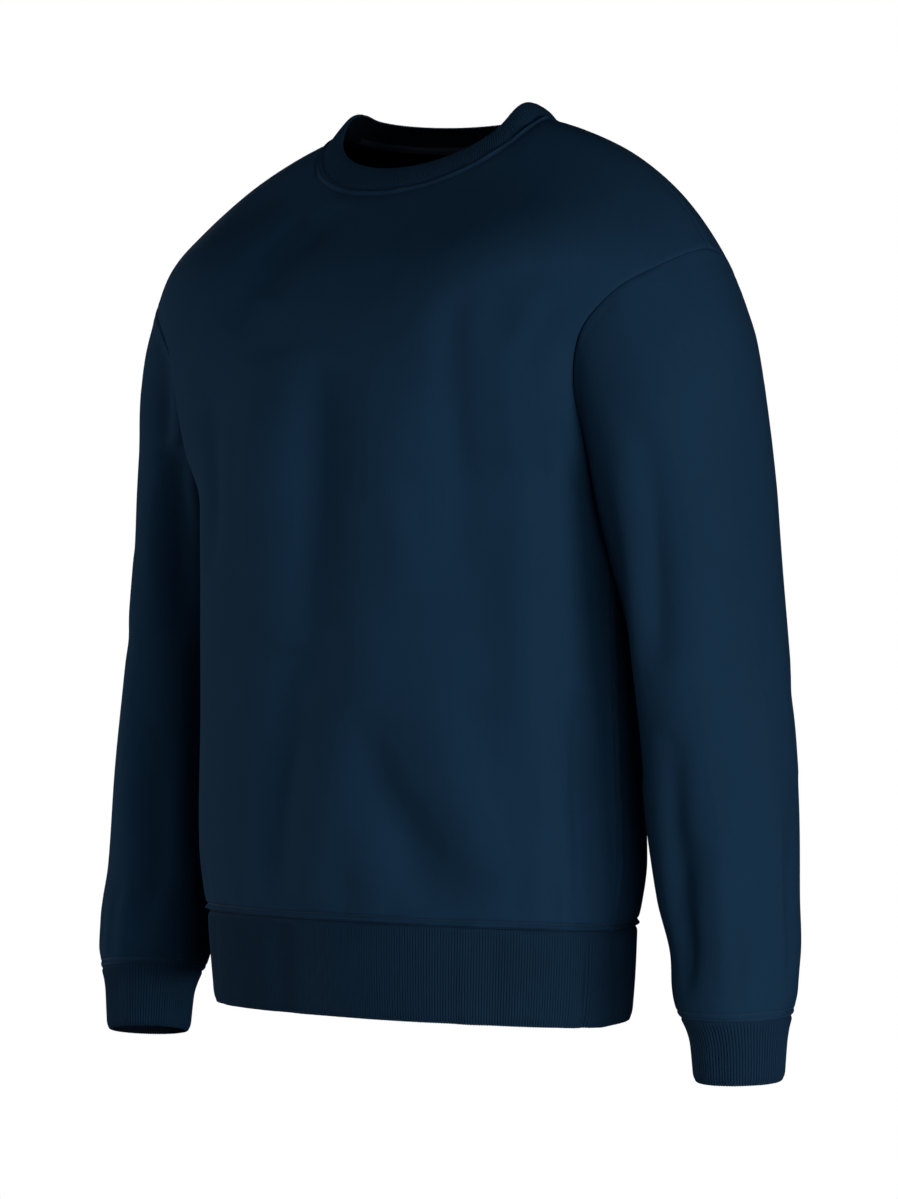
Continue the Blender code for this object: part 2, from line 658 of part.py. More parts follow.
def make_piece(name, wall, material, collection):
    """One cut piece as its own object, with its faces outward."""
    points, faces = wall
    if signed_volume(points, faces) < 0:
        faces = [tuple(face)[::-1] for face in faces]
    mesh = bpy.data.meshes.new(name)
    mesh.from_pydata(points.tolist(), [], [tuple(face) for face in faces])
    mesh.update()
    mesh.shade_smooth()
    mesh.set_sharp_from_angle(angle=math.radians(50))
    mesh.materials.append(material)
    collection.objects.link(bpy.data.objects.new(name, mesh))


def cloth_material(name, colour, roughness):
    material = bpy.data.materials.new(name)
    material.use_nodes = True
    shader = material.node_tree.nodes["Principled BSDF"]
    shader.inputs["Base Color"].default_value = (*colour, 1.0)
    shader.inputs["Roughness"].default_value = roughness
    shader.inputs["Metallic"].default_value = 0.0
    return material


def mirrored_wall(wall):
    points, faces = wall
    return mirrored(points), faces


def main():
    for obj in list(bpy.data.objects):
        bpy.data.objects.remove(obj)
    collection = bpy.data.collections.new("crewneck_sweatshirt")
    bpy.context.scene.collection.children.link(collection)
    fleece = cloth_material("navy_fleece", (0.012, 0.030, 0.058), 0.92)
    rib_knit = cloth_material("navy_rib", (0.010, 0.026, 0.050), 0.94)
    tape = cloth_material("navy_tape", (0.018, 0.036, 0.062), 0.85)
    hem = ribbed_ring(*hem_rows(2 * HEM_RIBS), HEM_RIBS, HEM_INNER, RIB_CLOTH)
    band = ribbed_ring(*band_rows(2 * BAND_RIBS), BAND_RIBS, BAND_INNER, BAND_CLOTH)
    make_piece("front_panel", sheet_wall(*panel_surface(True)), fleece, collection)
    make_piece("back_panel", sheet_wall(*panel_surface(False)), fleece, collection)
    for arm in (LEFT_ARM, RIGHT_ARM):
        sleeve = tube_wall(*sleeve_surface(arm))
        cuff = ribbed_ring(*cuff_rows(arm, 2 * CUFF_RIBS), CUFF_RIBS, CUFF_INNER, RIB_CLOTH)
        if arm is RIGHT_ARM:
            sleeve, cuff = mirrored_wall(sleeve), mirrored_wall(cuff)
        make_piece(f"{arm.name}_sleeve", sleeve, fleece, collection)
        make_piece(f"{arm.name}_cuff", cuff, rib_knit, collection)
    make_piece("neckband", band, rib_knit, collection)
    make_piece("hem_rib", hem, rib_knit, collection)
    make_piece("neck_tape", tape_wall(), tape, collection)


main()
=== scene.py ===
"""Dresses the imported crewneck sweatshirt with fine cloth, seams, stitches, materials, light and camera.

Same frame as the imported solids: metres, +Z up, +X to the wearer's left, -Y to the wearer's front. Each
cloth piece is a thin closed shell on the form of the solid that it replaces, with the same main folds
and finer ones between them.
"""

import math
from collections import namedtuple

import bpy
import numpy as np
from mathutils.bvhtree import BVHTree
from mathutils.kdtree import KDTree
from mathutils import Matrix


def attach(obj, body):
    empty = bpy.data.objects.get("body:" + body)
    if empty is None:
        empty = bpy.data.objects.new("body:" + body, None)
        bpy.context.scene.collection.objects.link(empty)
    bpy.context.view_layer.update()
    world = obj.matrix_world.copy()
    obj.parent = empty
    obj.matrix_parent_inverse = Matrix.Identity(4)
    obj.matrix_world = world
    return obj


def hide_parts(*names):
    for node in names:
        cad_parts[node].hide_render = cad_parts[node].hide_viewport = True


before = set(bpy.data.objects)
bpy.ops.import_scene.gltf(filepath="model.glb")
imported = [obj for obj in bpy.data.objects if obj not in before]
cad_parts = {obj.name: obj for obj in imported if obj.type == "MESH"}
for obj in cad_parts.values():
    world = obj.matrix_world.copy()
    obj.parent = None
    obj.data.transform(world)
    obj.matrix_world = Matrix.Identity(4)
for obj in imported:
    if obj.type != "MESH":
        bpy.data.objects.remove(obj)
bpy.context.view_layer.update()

# Thickness of the cloth, in metres like every length here.
BODY_CLOTH = 0.002
RIB_CLOTH = 0.0022
BAND_CLOTH = 0.003
TAPE_CLOTH = 0.0008
# Sewn edges lap a little here, where the solids are 0.3 mm apart, so that no light shows between them.
SEAM_GAP = -0.0001

# The neck's seam, and the band that rises and leans in from it.
NECK_HALF_WIDTH = 0.103
FRONT_NECK_DROP = 0.055
BACK_NECK_DROP = 0.012
NECK_ROUNDNESS = 2.0
BAND_RISE = 0.0158
BAND_TILT = 0.0018
BAND_LEAN = 0.0156
FRONT_LEAN_LESS = 0.002
BACK_LEAN_LESS = 0.0085
FRONT_RISE_MORE = 0.003
BACK_RISE_MORE = 0.0022
BAND_BULGE = 0.0012
NECK_REACH = 0.005

# The tape inside the back of the neck.
TAPE_WIDTH = 0.0055
TAPE_ABOVE_SEAM = -0.0016
TAPE_REACH = 0.12
TAPE_ROWS = 15
TAPE_SWELL = 0.0003
TAPE_STITCH_AT = 0.001
TAPE_STITCH_WIDTH = 0.0012

# The hem, the cuffs and the middle of the body.
HEM_HEIGHT = 0.073
HEM_TUCK = 0.028
HEM_CURL = 0.0016
HEM_LENGTH = 1.04
HEM_MIDDLE_Z = -0.62
CUFF_SEAM = -0.687
CUFF_CURL = 0.0014
CUFF_LENGTH = 0.235
BODY_MIDDLE_Y = -0.036
BODY_MIDDLE_Z = -0.35

# Ribs: how many go round each band, the steps of one, and how uneven they are.
HEM_RIBS = 480
CUFF_RIBS = 100
BAND_RIBS = 250
RIB_STEPS = (1.0, 0.8, 0.0, 0.8)
RIB_HEIGHT = 0.0005
RIB_PITCH = 0.0021
RIB_START = 0.004
NECK_RIB_START = 0.003
RIB_WANDER = 0.12
RIB_LUMP = 4.0

# How many columns and rows of points a piece has, and how much closer together they are at its edges.
NECK_COLUMNS = 34
SHOULDER_COLUMNS = 52
SIDE_ROWS = 96
UPPER_ROWS = 92
SLEEVE_COLUMNS = 176
SLEEVE_ROWS = 180
RING_POINTS = 240
FOLD_STEPS = 4
SIDE_CROWDING = 0.8
SHOULDER_CROWDING = 0.85
ROW_CROWDING = 1.45
SLEEVE_CROWDING = 0.86
UNDERARM_CROWDING = 0.5
SHARP_DEGREES = 55

# How far from an edge the cloth takes up its own form.
SLEEVE_BLEND = 0.16
LEAN_REACH = 0.004
LEVEL_REACH = 0.014

# The body's form: a curve from the middle to the side at each v, which runs from the front's hem, -1, over
# the shoulders, 0, to the back's hem, 1. Heading and dip are the curve's direction at the side, in degrees.
Section = namedtuple("Section", "name v centre_y centre_z edge_x edge_y edge_z heading dip fill")
SECTIONS = (
    Section("front_hem", -1.0, -0.171, -0.622, 0.19, -0.036, -0.63, 90, 3, 0.55),
    Section("front_low", -0.88, -0.176, -0.57, 0.197, -0.035, -0.576, 90, 2, 0.56),
    Section("front_waist", -0.7, -0.182, -0.478, 0.194, -0.035, -0.482, 90, 1, 0.56),
    Section("front_rib", -0.54, -0.188, -0.39, 0.191, -0.036, -0.392, 90, 0, 0.56),
    Section("front_pit", -0.38, -0.189, -0.3, 0.19, -0.036, -0.302, 90, 0, 0.56),
    Section("front_fold", -0.31, -0.187, -0.258, 0.195, -0.07, -0.262, 88, 0, 0.52),
    Section("front_lap", -0.24, -0.18, -0.215, 0.199, -0.092, -0.215, 78, 5, 0.48),
    Section("front_chest", -0.18, -0.168, -0.172, 0.211, -0.1, -0.178, 58, 18, 0.48),
    Section("front_cap", -0.12, -0.143, -0.124, 0.235, -0.09, -0.147, 40, 34, 0.52),
    Section("front_yoke", -0.06, -0.08, -0.058, 0.254, -0.062, -0.128, 22, 54, 0.46),
    Section("ridge", 0.0, -0.004, 0.011, 0.266, -0.012, -0.112, 0, 61, 0.4),
    Section("back_yoke", 0.06, 0.067, -0.025, 0.256, 0.034, -0.129, -22, 49, 0.44),
    Section("back_cap", 0.12, 0.1, -0.09, 0.237, 0.062, -0.155, -42, 34, 0.46),
    Section("back_blade", 0.18, 0.112, -0.15, 0.22, 0.07, -0.187, -60, 18, 0.46),
    Section("back_lap", 0.24, 0.116, -0.205, 0.206, 0.046, -0.225, -78, 5, 0.5),
    Section("back_fold", 0.31, 0.115, -0.258, 0.196, 0.0, -0.262, -88, 0, 0.53),
    Section("back_pit", 0.38, 0.112, -0.304, 0.19, -0.036, -0.302, -90, 0, 0.56),
    Section("back_rib", 0.54, 0.106, -0.394, 0.191, -0.036, -0.392, -90, 0, 0.56),
    Section("back_waist", 0.7, 0.102, -0.486, 0.194, -0.035, -0.482, -90, 1, 0.56),
    Section("back_low", 0.88, 0.103, -0.582, 0.197, -0.035, -0.576, -90, 2, 0.56),
    Section("back_hem", 1.0, 0.099, -0.638, 0.19, -0.036, -0.63, -90, 3, 0.55),
)
PIT_V = 0.38

# A sleeve's form: an oval round the arm at each height, by its outer side, half width, middle and half depth.
Ring = namedtuple("Ring", "z out_x across centre_y depth")
SLEEVE_RINGS = (
    Ring(-0.112, 0.258, 0.05, -0.012, 0.08),
    Ring(-0.146, 0.273, 0.053, -0.012, 0.087),
    Ring(-0.18, 0.285, 0.053, -0.011, 0.088),
    Ring(-0.215, 0.291, 0.051, -0.01, 0.086),
    Ring(-0.26, 0.295, 0.05, -0.007, 0.083),
    Ring(-0.33, 0.303, 0.052, -0.006, 0.078),
    Ring(-0.43, 0.318, 0.054, -0.008, 0.071),
    Ring(-0.527, 0.331, 0.054, -0.011, 0.066),
    Ring(-0.6, 0.338, 0.051, -0.016, 0.058),
    Ring(-0.645, 0.344, 0.046, -0.022, 0.052),
    Ring(-0.668, 0.344, 0.0445, -0.025, 0.0498),
    Ring(-0.68, 0.3426, 0.0421, -0.0262, 0.0472),
    Ring(-0.687, 0.342, 0.04, -0.027, 0.0448),
    Ring(-0.697, 0.3396, 0.0361, -0.0272, 0.0404),
    Ring(-0.708, 0.3385, 0.0338, -0.0275, 0.0378),
    Ring(-0.74, 0.3376, 0.032, -0.028, 0.0358),
)

# A fold runs through three places. On a panel, across is the share of the way from the middle to the
# side, with a minus on the wearer's right. On a sleeve it is the angle from the outer side towards the
# front, in degrees. A minus depth is a ridge.
Fold = namedtuple("Fold", "name across_1 z_1 across_2 z_2 across_3 z_3 width depth")
FRONT_FOLDS = (
    Fold("neck_drape", -0.09, -0.068, -0.13, -0.101, -0.19, -0.142, 0.019, 0.005),
    Fold("middle_upper", 0.15, -0.19, 0.115, -0.3, 0.11, -0.4, 0.027, 0.008),
    Fold("middle_lower", 0.11, -0.37, 0.05, -0.46, -0.07, -0.625, 0.025, 0.008),
    Fold("middle_ridge", -0.08, -0.18, -0.02, -0.29, -0.01, -0.42, 0.028, -0.0055),
    Fold("right_side", -0.35, -0.2, -0.35, -0.28, -0.34, -0.36, 0.018, 0.004),
    Fold("left_diagonal", 0.29, -0.52, 0.37, -0.57, 0.5, -0.622, 0.02, 0.006),
    Fold("left_chest", 0.68, -0.125, 0.68, -0.22, 0.63, -0.36, 0.03, 0.006),
    Fold("left_ridge", 0.86, -0.22, 0.74, -0.39, 0.7, -0.6, 0.028, -0.0055),
    Fold("left_side", 0.87, -0.44, 0.87, -0.54, 0.88, -0.628, 0.018, 0.0055),
    Fold("right_armpit", -0.95, -0.235, -0.8, -0.275, -0.62, -0.33, 0.018, 0.004),
)
BACK_FOLDS = (
    Fold("left_drape", 0.5, -0.13, 0.42, -0.25, 0.38, -0.4, 0.028, 0.007),
    Fold("right_drape", -0.45, -0.12, -0.52, -0.23, -0.42, -0.38, 0.026, 0.007),
    Fold("middle_low", -0.05, -0.31, 0.02, -0.43, -0.04, -0.61, 0.028, 0.006),
    Fold("left_ridge", 0.2, -0.21, 0.22, -0.36, 0.15, -0.58, 0.03, -0.0055),
    Fold("right_low", -0.4, -0.45, -0.3, -0.53, -0.26, -0.632, 0.022, 0.006),
    Fold("left_low", 0.62, -0.5, 0.55, -0.56, 0.5, -0.63, 0.02, 0.0055),
    Fold("left_armpit", 0.95, -0.245, 0.8, -0.285, 0.62, -0.335, 0.018, 0.004),
    Fold("right_armpit", -0.95, -0.24, -0.83, -0.28, -0.66, -0.315, 0.018, 0.0035),
)
LEFT_FOLDS = (
    Fold("front_trough", 54, -0.25, 64, -0.33, 80, -0.43, 0.018, 0.005),
    Fold("inner_low", 72, -0.55, 88, -0.6, 102, -0.665, 0.014, 0.004),
    Fold("outer_low", 330, -0.5, 345, -0.57, 355, -0.665, 0.02, 0.004),
    Fold("elbow", 255, -0.4, 285, -0.44, 320, -0.43, 0.02, 0.004),
    Fold("back_trough", 280, -0.2, 268, -0.29, 262, -0.39, 0.02, 0.0045),
    Fold("inner_middle", 130, -0.36, 140, -0.44, 135, -0.52, 0.018, 0.0035),
)
RIGHT_FOLDS = (
    Fold("front_trough", 92, -0.25, 110, -0.33, 126, -0.42, 0.02, 0.0055),
    Fold("front_upper", 58, -0.175, 76, -0.215, 84, -0.265, 0.016, 0.0035),
    Fold("front_low", 106, -0.52, 116, -0.58, 126, -0.66, 0.016, 0.0045),
    Fold("elbow", 248, -0.38, 280, -0.41, 312, -0.4, 0.02, 0.004),
    Fold("back_trough", 272, -0.21, 262, -0.31, 270, -0.42, 0.02, 0.0045),
    Fold("outer_low", 335, -0.53, 350, -0.59, 352, -0.665, 0.018, 0.0035),
)
# An arm's end is lifted at its front and at its inner side by some degrees, because the forearm points
# forward and in.
Arm = namedtuple("Arm", "name front_lift inner_lift cuff_end folds")
LEFT_ARM = Arm("left", -1.0, 0.0, -0.735, LEFT_FOLDS)
RIGHT_ARM = Arm("right", 9.0, 7.0, -0.738, RIGHT_FOLDS)

# The lengths on which folds are laid out, how they fade at seams and ends, and the steps they are drawn in.
PANEL_HALF_GIRTH = 0.262
SLEEVE_RADIUS = 0.07
SIDE_FADE = 0.12
TOP_FADE = 0.06
ARMHOLE_FADE = 0.08
CUFF_FADE = 0.035
TAPER = 0.7
STEP = 0.0005
FOLD_PARTS = 24
FOLD_END = 0.06

# The cloth beside a seam: a groove at the seam, a swell where the seam allowance lies under the cloth,
# and a fine groove where a row of stitches pulls it down. All in metres.
Seam = namedtuple("Seam", "name depth width swell swell_at swell_width stitch_at stitch_depth")
SEAMS = {
    row.name: row
    for row in (
        Seam("neck", 0.0009, 0.0007, 0.0022, 0.0025, 0.0019, 0.0062, 0.001),
        Seam("shoulder", 0.0007, 0.001, 0.0003, 0.004, 0.003, 0.01, 0.0),
        Seam("armhole", 0.0007, 0.001, 0.0003, 0.0044, 0.003, 0.01, 0.0),
        Seam("side", 0.0012, 0.001, 0.0018, 0.0034, 0.0022, 0.01, 0.0),
        Seam("hem", 0.0018, 0.001, 0.002, 0.0028, 0.0016, 0.006, 0.0012),
        Seam("cuff", 0.0006, 0.001, 0.0004, 0.0026, 0.0014, 0.0054, 0.0005),
        Seam("underarm", 0.001, 0.0012, 0.0005, 0.0036, 0.0026, 0.01, 0.0),
    )
}
STITCH_GROOVE = 0.001
SEAM_UNEVEN = 0.35
SEAM_LUMP = 0.011
SEAM_FREE = 0.016

# Soft lumps of the cloth, in metres, and how many go round a sleeve.
Lump = namedtuple("Lump", "height width length round_sleeve")
DRAPE_LUMP = Lump(0.0016, 0.085, 0.19, 6)
RIPPLE_LUMP = Lump(0.0003, 0.03, 0.07, 17)

# Puckers beside a gathered seam: their height and length, where they are full, and how far they reach.
Gather = namedtuple("Gather", "height length full reach")
HEM_GATHER = Gather(0.001, 0.09, 0.004, 0.024)
HEAD_GATHER = Gather(0.0007, 0.05, 0.004, 0.014)
CUFF_GATHER = Gather(0.0014, 0.06, 0.005, 0.026)
# The width of a pucker at the hem, where they fade at its sides, and how many go round a sleeve's ends.
HEM_PUCKER = 0.014
HEM_GATHER_FADE = 0.03
HEAD_PUCKERS = 30
CUFF_PUCKERS = 19

# A band's long section: tucked in at its seam, full between, and curled in past a share of its height.
SEAM_TUCK = 0.0009
TUCK_REACH = 0.0015
NECK_TUCK = 0.0006
NECK_TUCK_REACH = 0.0014
BAND_FULLNESS = 0.0006
CURL_START = 0.86

# A band's soft lumps: their height, how many go up it and round it, and how far from the seam they begin.
BAND_NOISE = 0.0007
BAND_LUMPS = 1.3
BAND_FREE = 0.01
HEM_LUMPS = 26
CUFF_LUMPS = 9
NECK_NOISE = 0.0004
NECK_BAND_LUMPS = 1.5
NECK_LUMPS = 22

# Seeds of the noise.
FRONT_SEED = 10
BACK_SEED = 40
HEM_SEED = 60
NECK_SEED = 70
RIB_SEED = 77
LEFT_SEED = 100
RIGHT_SEED = 130

# Two rows of stitches beside a seam.
NEEDLE_ROWS = (0.0016, 0.0056)
STITCH_PITCH = 0.0027
STITCH_LENGTH = 0.0021
STITCH_RADIUS = 0.00018
STITCH_SIDES = 5
STITCH_AIM = 0.001
# The rings of one stitch: places in shares of its length, sizes and heights in shares of its radius.
StitchRing = namedtuple("StitchRing", "place size height")
STITCH_RINGS = (
    StitchRing(-0.5, 0.4, -0.9),
    StitchRing(-0.36, 1.0, 0.1),
    StitchRing(0.36, 1.0, 0.1),
    StitchRing(0.5, 0.4, -0.9),
)

# Soft drapes that deepen the main folds, and finer creases between them, in the same terms as theirs.
FRONT_DRAPES = (
    Fold("neck", -0.17, -0.068, -0.22, -0.112, -0.32, -0.17, 0.021, 0.005),
    Fold("right_ridge", -0.16, -0.18, -0.12, -0.29, -0.12, -0.42, 0.02, -0.005),
    Fold("middle", 0.07, -0.185, 0.045, -0.31, 0.02, -0.45, 0.017, 0.0075),
    Fold("low", 0.0, -0.41, -0.08, -0.51, -0.12, -0.637, 0.017, 0.0105),
    Fold("low_fill", 0.14, -0.44, 0.06, -0.53, 0.01, -0.632, 0.019, -0.005),
    Fold("middle_ridge", 0.23, -0.19, 0.2, -0.32, 0.17, -0.48, 0.02, -0.004),
    Fold("right", -0.4, -0.22, -0.38, -0.285, -0.39, -0.36, 0.014, 0.0035),
    Fold("diagonal", 0.18, -0.455, 0.27, -0.55, 0.39, -0.634, 0.02, 0.009),
    Fold("diagonal_ridge", 0.37, -0.44, 0.47, -0.52, 0.6, -0.6, 0.02, -0.0035),
    Fold("centre", 0.33, -0.215, 0.31, -0.3, 0.34, -0.4, 0.02, -0.0035),
    Fold("chest", 0.54, -0.14, 0.5, -0.25, 0.49, -0.37, 0.018, 0.007),
    Fold("left_ridge", 0.72, -0.17, 0.67, -0.32, 0.66, -0.5, 0.02, -0.0075),
    Fold("left_side", 0.85, -0.44, 0.85, -0.54, 0.875, -0.634, 0.012, 0.006),
)
BACK_DRAPES = (
    Fold("left", 0.44, -0.12, 0.37, -0.24, 0.34, -0.4, 0.019, 0.0055),
    Fold("left_ridge", 0.27, -0.19, 0.26, -0.33, 0.22, -0.5, 0.02, -0.0045),
    Fold("right", -0.5, -0.12, -0.56, -0.24, -0.46, -0.4, 0.019, 0.0055),
    Fold("right_ridge", -0.66, -0.18, -0.7, -0.31, -0.62, -0.45, 0.018, -0.0045),
    Fold("middle", -0.09, -0.29, -0.03, -0.43, -0.09, -0.625, 0.019, 0.0065),
    Fold("middle_ridge", -0.22, -0.26, -0.18, -0.42, -0.23, -0.6, 0.02, -0.004),
    Fold("right_low", -0.44, -0.44, -0.34, -0.53, -0.3, -0.636, 0.018, 0.005),
    Fold("left_low", 0.66, -0.47, 0.58, -0.55, 0.52, -0.634, 0.018, 0.005),
)
LEFT_DRAPES = (
    Fold("front", 66, -0.235, 74, -0.32, 88, -0.44, 0.013, 0.005),
    Fold("front_ridge", 94, -0.27, 102, -0.36, 112, -0.47, 0.013, -0.0035),
    Fold("inner_low", 78, -0.47, 92, -0.57, 104, -0.676, 0.016, 0.0065),
    Fold("front_low", 48, -0.52, 56, -0.6, 62, -0.67, 0.013, -0.003),
    Fold("back", 272, -0.2, 260, -0.29, 254, -0.4, 0.014, 0.0045),
    Fold("back_low", 296, -0.48, 282, -0.56, 276, -0.66, 0.014, 0.004),
)
RIGHT_DRAPES = (
    Fold("front", 100, -0.245, 118, -0.33, 134, -0.45, 0.014, 0.005),
    Fold("front_ridge", 66, -0.33, 76, -0.45, 84, -0.62, 0.016, -0.0035),
    Fold("upper", 66, -0.165, 84, -0.21, 92, -0.27, 0.012, 0.005),
    Fold("front_low", 112, -0.48, 122, -0.57, 132, -0.668, 0.014, 0.005),
    Fold("back", 266, -0.2, 256, -0.3, 262, -0.42, 0.014, 0.0045),
    Fold("back_low", 290, -0.5, 280, -0.58, 284, -0.664, 0.014, 0.004),
)
FRONT_CREASES = (
    Fold("neck_pull", -0.22, -0.06, -0.24, -0.085, -0.3, -0.12, 0.01, 0.0016),
    Fold("neck_pull_left", 0.16, -0.078, 0.2, -0.11, 0.21, -0.15, 0.011, 0.0014),
    Fold("chest_ripple_1", 0.2, -0.29, 0.24, -0.32, 0.26, -0.36, 0.009, 0.0013),
    Fold("chest_ripple_2", 0.32, -0.27, 0.36, -0.3, 0.37, -0.335, 0.008, 0.0012),
    Fold("left_pull", 0.96, -0.15, 0.86, -0.175, 0.78, -0.215, 0.012, 0.0022),
    Fold("left_pull_low", 0.98, -0.215, 0.9, -0.245, 0.84, -0.3, 0.011, 0.0022),
    Fold("right_pull", -0.97, -0.165, -0.86, -0.185, -0.76, -0.225, 0.012, 0.0022),
    Fold("hem_1", -0.55, -0.575, -0.53, -0.6, -0.54, -0.628, 0.009, 0.0018),
    Fold("hem_2", -0.28, -0.56, -0.25, -0.595, -0.26, -0.63, 0.01, 0.0016),
    Fold("hem_3", 0.1, -0.57, 0.13, -0.6, 0.12, -0.632, 0.009, 0.0016),
    Fold("hem_4", 0.6, -0.56, 0.63, -0.595, 0.62, -0.632, 0.009, 0.0018),
    Fold("hem_5", 0.76, -0.52, 0.74, -0.58, 0.75, -0.63, 0.01, 0.002),
    Fold("left_waist", 0.44, -0.44, 0.52, -0.47, 0.56, -0.52, 0.012, 0.0014),
)
BACK_CREASES = (
    Fold("neck_pull", 0.16, -0.03, 0.2, -0.06, 0.24, -0.11, 0.012, 0.0015),
    Fold("neck_pull_right", -0.2, -0.034, -0.26, -0.07, -0.28, -0.115, 0.012, 0.0015),
    Fold("left_pull", 0.96, -0.17, 0.86, -0.2, 0.76, -0.235, 0.012, 0.0022),
    Fold("right_pull", -0.96, -0.165, -0.84, -0.19, -0.74, -0.24, 0.012, 0.0022),
    Fold("blade_ripple", 0.34, -0.22, 0.3, -0.26, 0.31, -0.31, 0.01, 0.0013),
    Fold("hem_1", -0.72, -0.56, -0.7, -0.6, -0.72, -0.632, 0.009, 0.0018),
    Fold("hem_2", -0.14, -0.58, -0.12, -0.605, -0.13, -0.634, 0.01, 0.0016),
    Fold("hem_3", 0.26, -0.565, 0.3, -0.6, 0.28, -0.634, 0.01, 0.0018),
    Fold("hem_4", 0.78, -0.555, 0.76, -0.59, 0.77, -0.63, 0.009, 0.0018),
    Fold("waist_right", -0.62, -0.42, -0.56, -0.45, -0.55, -0.5, 0.013, 0.0016),
)
LEFT_CREASES = (
    Fold("head_1", 40, -0.14, 44, -0.165, 50, -0.2, 0.01, 0.0013),
    Fold("head_2", 320, -0.15, 316, -0.18, 314, -0.215, 0.011, 0.0014),
    Fold("elbow_front", 60, -0.42, 40, -0.44, 22, -0.436, 0.013, 0.0018),
    Fold("elbow_back", 286, -0.47, 262, -0.485, 244, -0.478, 0.012, 0.002),
    Fold("cuff_1", 20, -0.63, 24, -0.655, 22, -0.684, 0.009, 0.002),
    Fold("cuff_2", 52, -0.615, 48, -0.65, 50, -0.684, 0.009, 0.0018),
    Fold("cuff_3", 300, -0.625, 304, -0.655, 302, -0.684, 0.01, 0.002),
)
RIGHT_CREASES = (
    Fold("head_1", 44, -0.145, 50, -0.17, 54, -0.205, 0.01, 0.0013),
    Fold("head_2", 316, -0.145, 312, -0.175, 316, -0.21, 0.011, 0.0014),
    Fold("elbow_front", 74, -0.4, 52, -0.415, 30, -0.412, 0.013, 0.0018),
    Fold("elbow_back", 290, -0.455, 268, -0.47, 250, -0.462, 0.012, 0.002),
    Fold("cuff_1", 60, -0.62, 64, -0.65, 60, -0.684, 0.009, 0.002),
    Fold("cuff_2", 90, -0.61, 86, -0.65, 88, -0.684, 0.009, 0.0018),
    Fold("cuff_3", 322, -0.625, 318, -0.655, 320, -0.684, 0.01, 0.002),
)
# On a band, across is the share of the way round it, from the wearer's right round the front on the
# body, and from the outer side round the front on a cuff.
HEM_FOLDS = (
    Fold("left_side", 0.487, -0.6, 0.478, -0.676, 0.491, -0.75, 0.0035, 0.0034),
    Fold("left_side_ridge", 0.474, -0.6, 0.465, -0.676, 0.478, -0.75, 0.008, -0.002),
    Fold("middle", 0.226, -0.606, 0.222, -0.65, 0.224, -0.712, 0.013, 0.004),
    Fold("right_front", 0.11, -0.6, 0.114, -0.66, 0.11, -0.73, 0.014, 0.0022),
    Fold("left_front", 0.396, -0.6, 0.404, -0.67, 0.401, -0.74, 0.013, 0.0024),
    Fold("left_back", 0.61, -0.6, 0.604, -0.67, 0.609, -0.74, 0.012, 0.0016),
    Fold("back", 0.76, -0.6, 0.766, -0.67, 0.762, -0.74, 0.015, 0.0014),
    Fold("right_side", 0.985, -0.6, 0.976, -0.67, 0.986, -0.75, 0.009, 0.0022),
)
LEFT_CUFF_FOLDS = (
    Fold("front", 0.2, -0.67, 0.21, -0.71, 0.2, -0.75, 0.006, 0.001),
    Fold("under", 0.52, -0.67, 0.53, -0.71, 0.52, -0.75, 0.007, 0.0012),
    Fold("behind", 0.8, -0.67, 0.79, -0.71, 0.8, -0.75, 0.006, 0.001),
)
RIGHT_CUFF_FOLDS = (
    Fold("front", 0.27, -0.67, 0.26, -0.71, 0.27, -0.75, 0.006, 0.001),
    Fold("under", 0.5, -0.67, 0.51, -0.71, 0.5, -0.75, 0.007, 0.0012),
    Fold("behind", 0.76, -0.67, 0.77, -0.71, 0.76, -0.75, 0.006, 0.001),
)

# The flat cut of a piece of cloth that shows.
Cut = namedtuple("Cut", "node width length area held")

# A cloth's shader values, how strongly and how high in metres its face is raised, and its two tones.
Look = namedtuple("Look", "name roughness sheen specular strength height dark light")
FLEECE_LOOK = Look(
    "navy_fleece", 0.97, 0.0, 0.05, 0.55, 0.00015, (0.005, 0.0195, 0.0425), (0.0106, 0.0378, 0.08)
)
# The rib knit's dark tone, far below the fleece's, is painted shade between its ribs.
RIB_LOOK = Look(
    "navy_rib", 0.97, 0.0, 0.05, 0.6, 0.00016, (0.0012, 0.0048, 0.0115), (0.01, 0.0335, 0.07)
)
# The insides of the fleece and rib are the same cloth painted much darker: painted shade inside the
# sweatshirt.
FLEECE_INSIDE_PAINTED_SHADE = Look(
    "fleece_inside", 1.0, 0.0, 0.05, 0.5, 0.0003, (0.0009, 0.0024, 0.0045), (0.0021, 0.0056, 0.0105)
)
RIB_INSIDE_PAINTED_SHADE = Look(
    "rib_inside_painted_shade", 1.0, 0.0, 0.05, 0.5, 0.0003, (0.0012, 0.00312, 0.006), (0.0028, 0.00728, 0.014)
)
TAPE_LOOK = Look(
    "navy_tape", 0.85, 0.1, 0.3, 0.6, 0.00012, (0.004, 0.011, 0.021), (0.011, 0.028, 0.048)
)
THREAD_LOOK = Look(
    "navy_thread", 0.6, 0.05, 0.4, 0.4, 0.00006, (0.006, 0.018, 0.036), (0.014, 0.038, 0.074)
)
SHEEN_ROUGHNESS = 0.45
SHEEN_TINT = (0.3, 0.45, 0.62, 1.0)
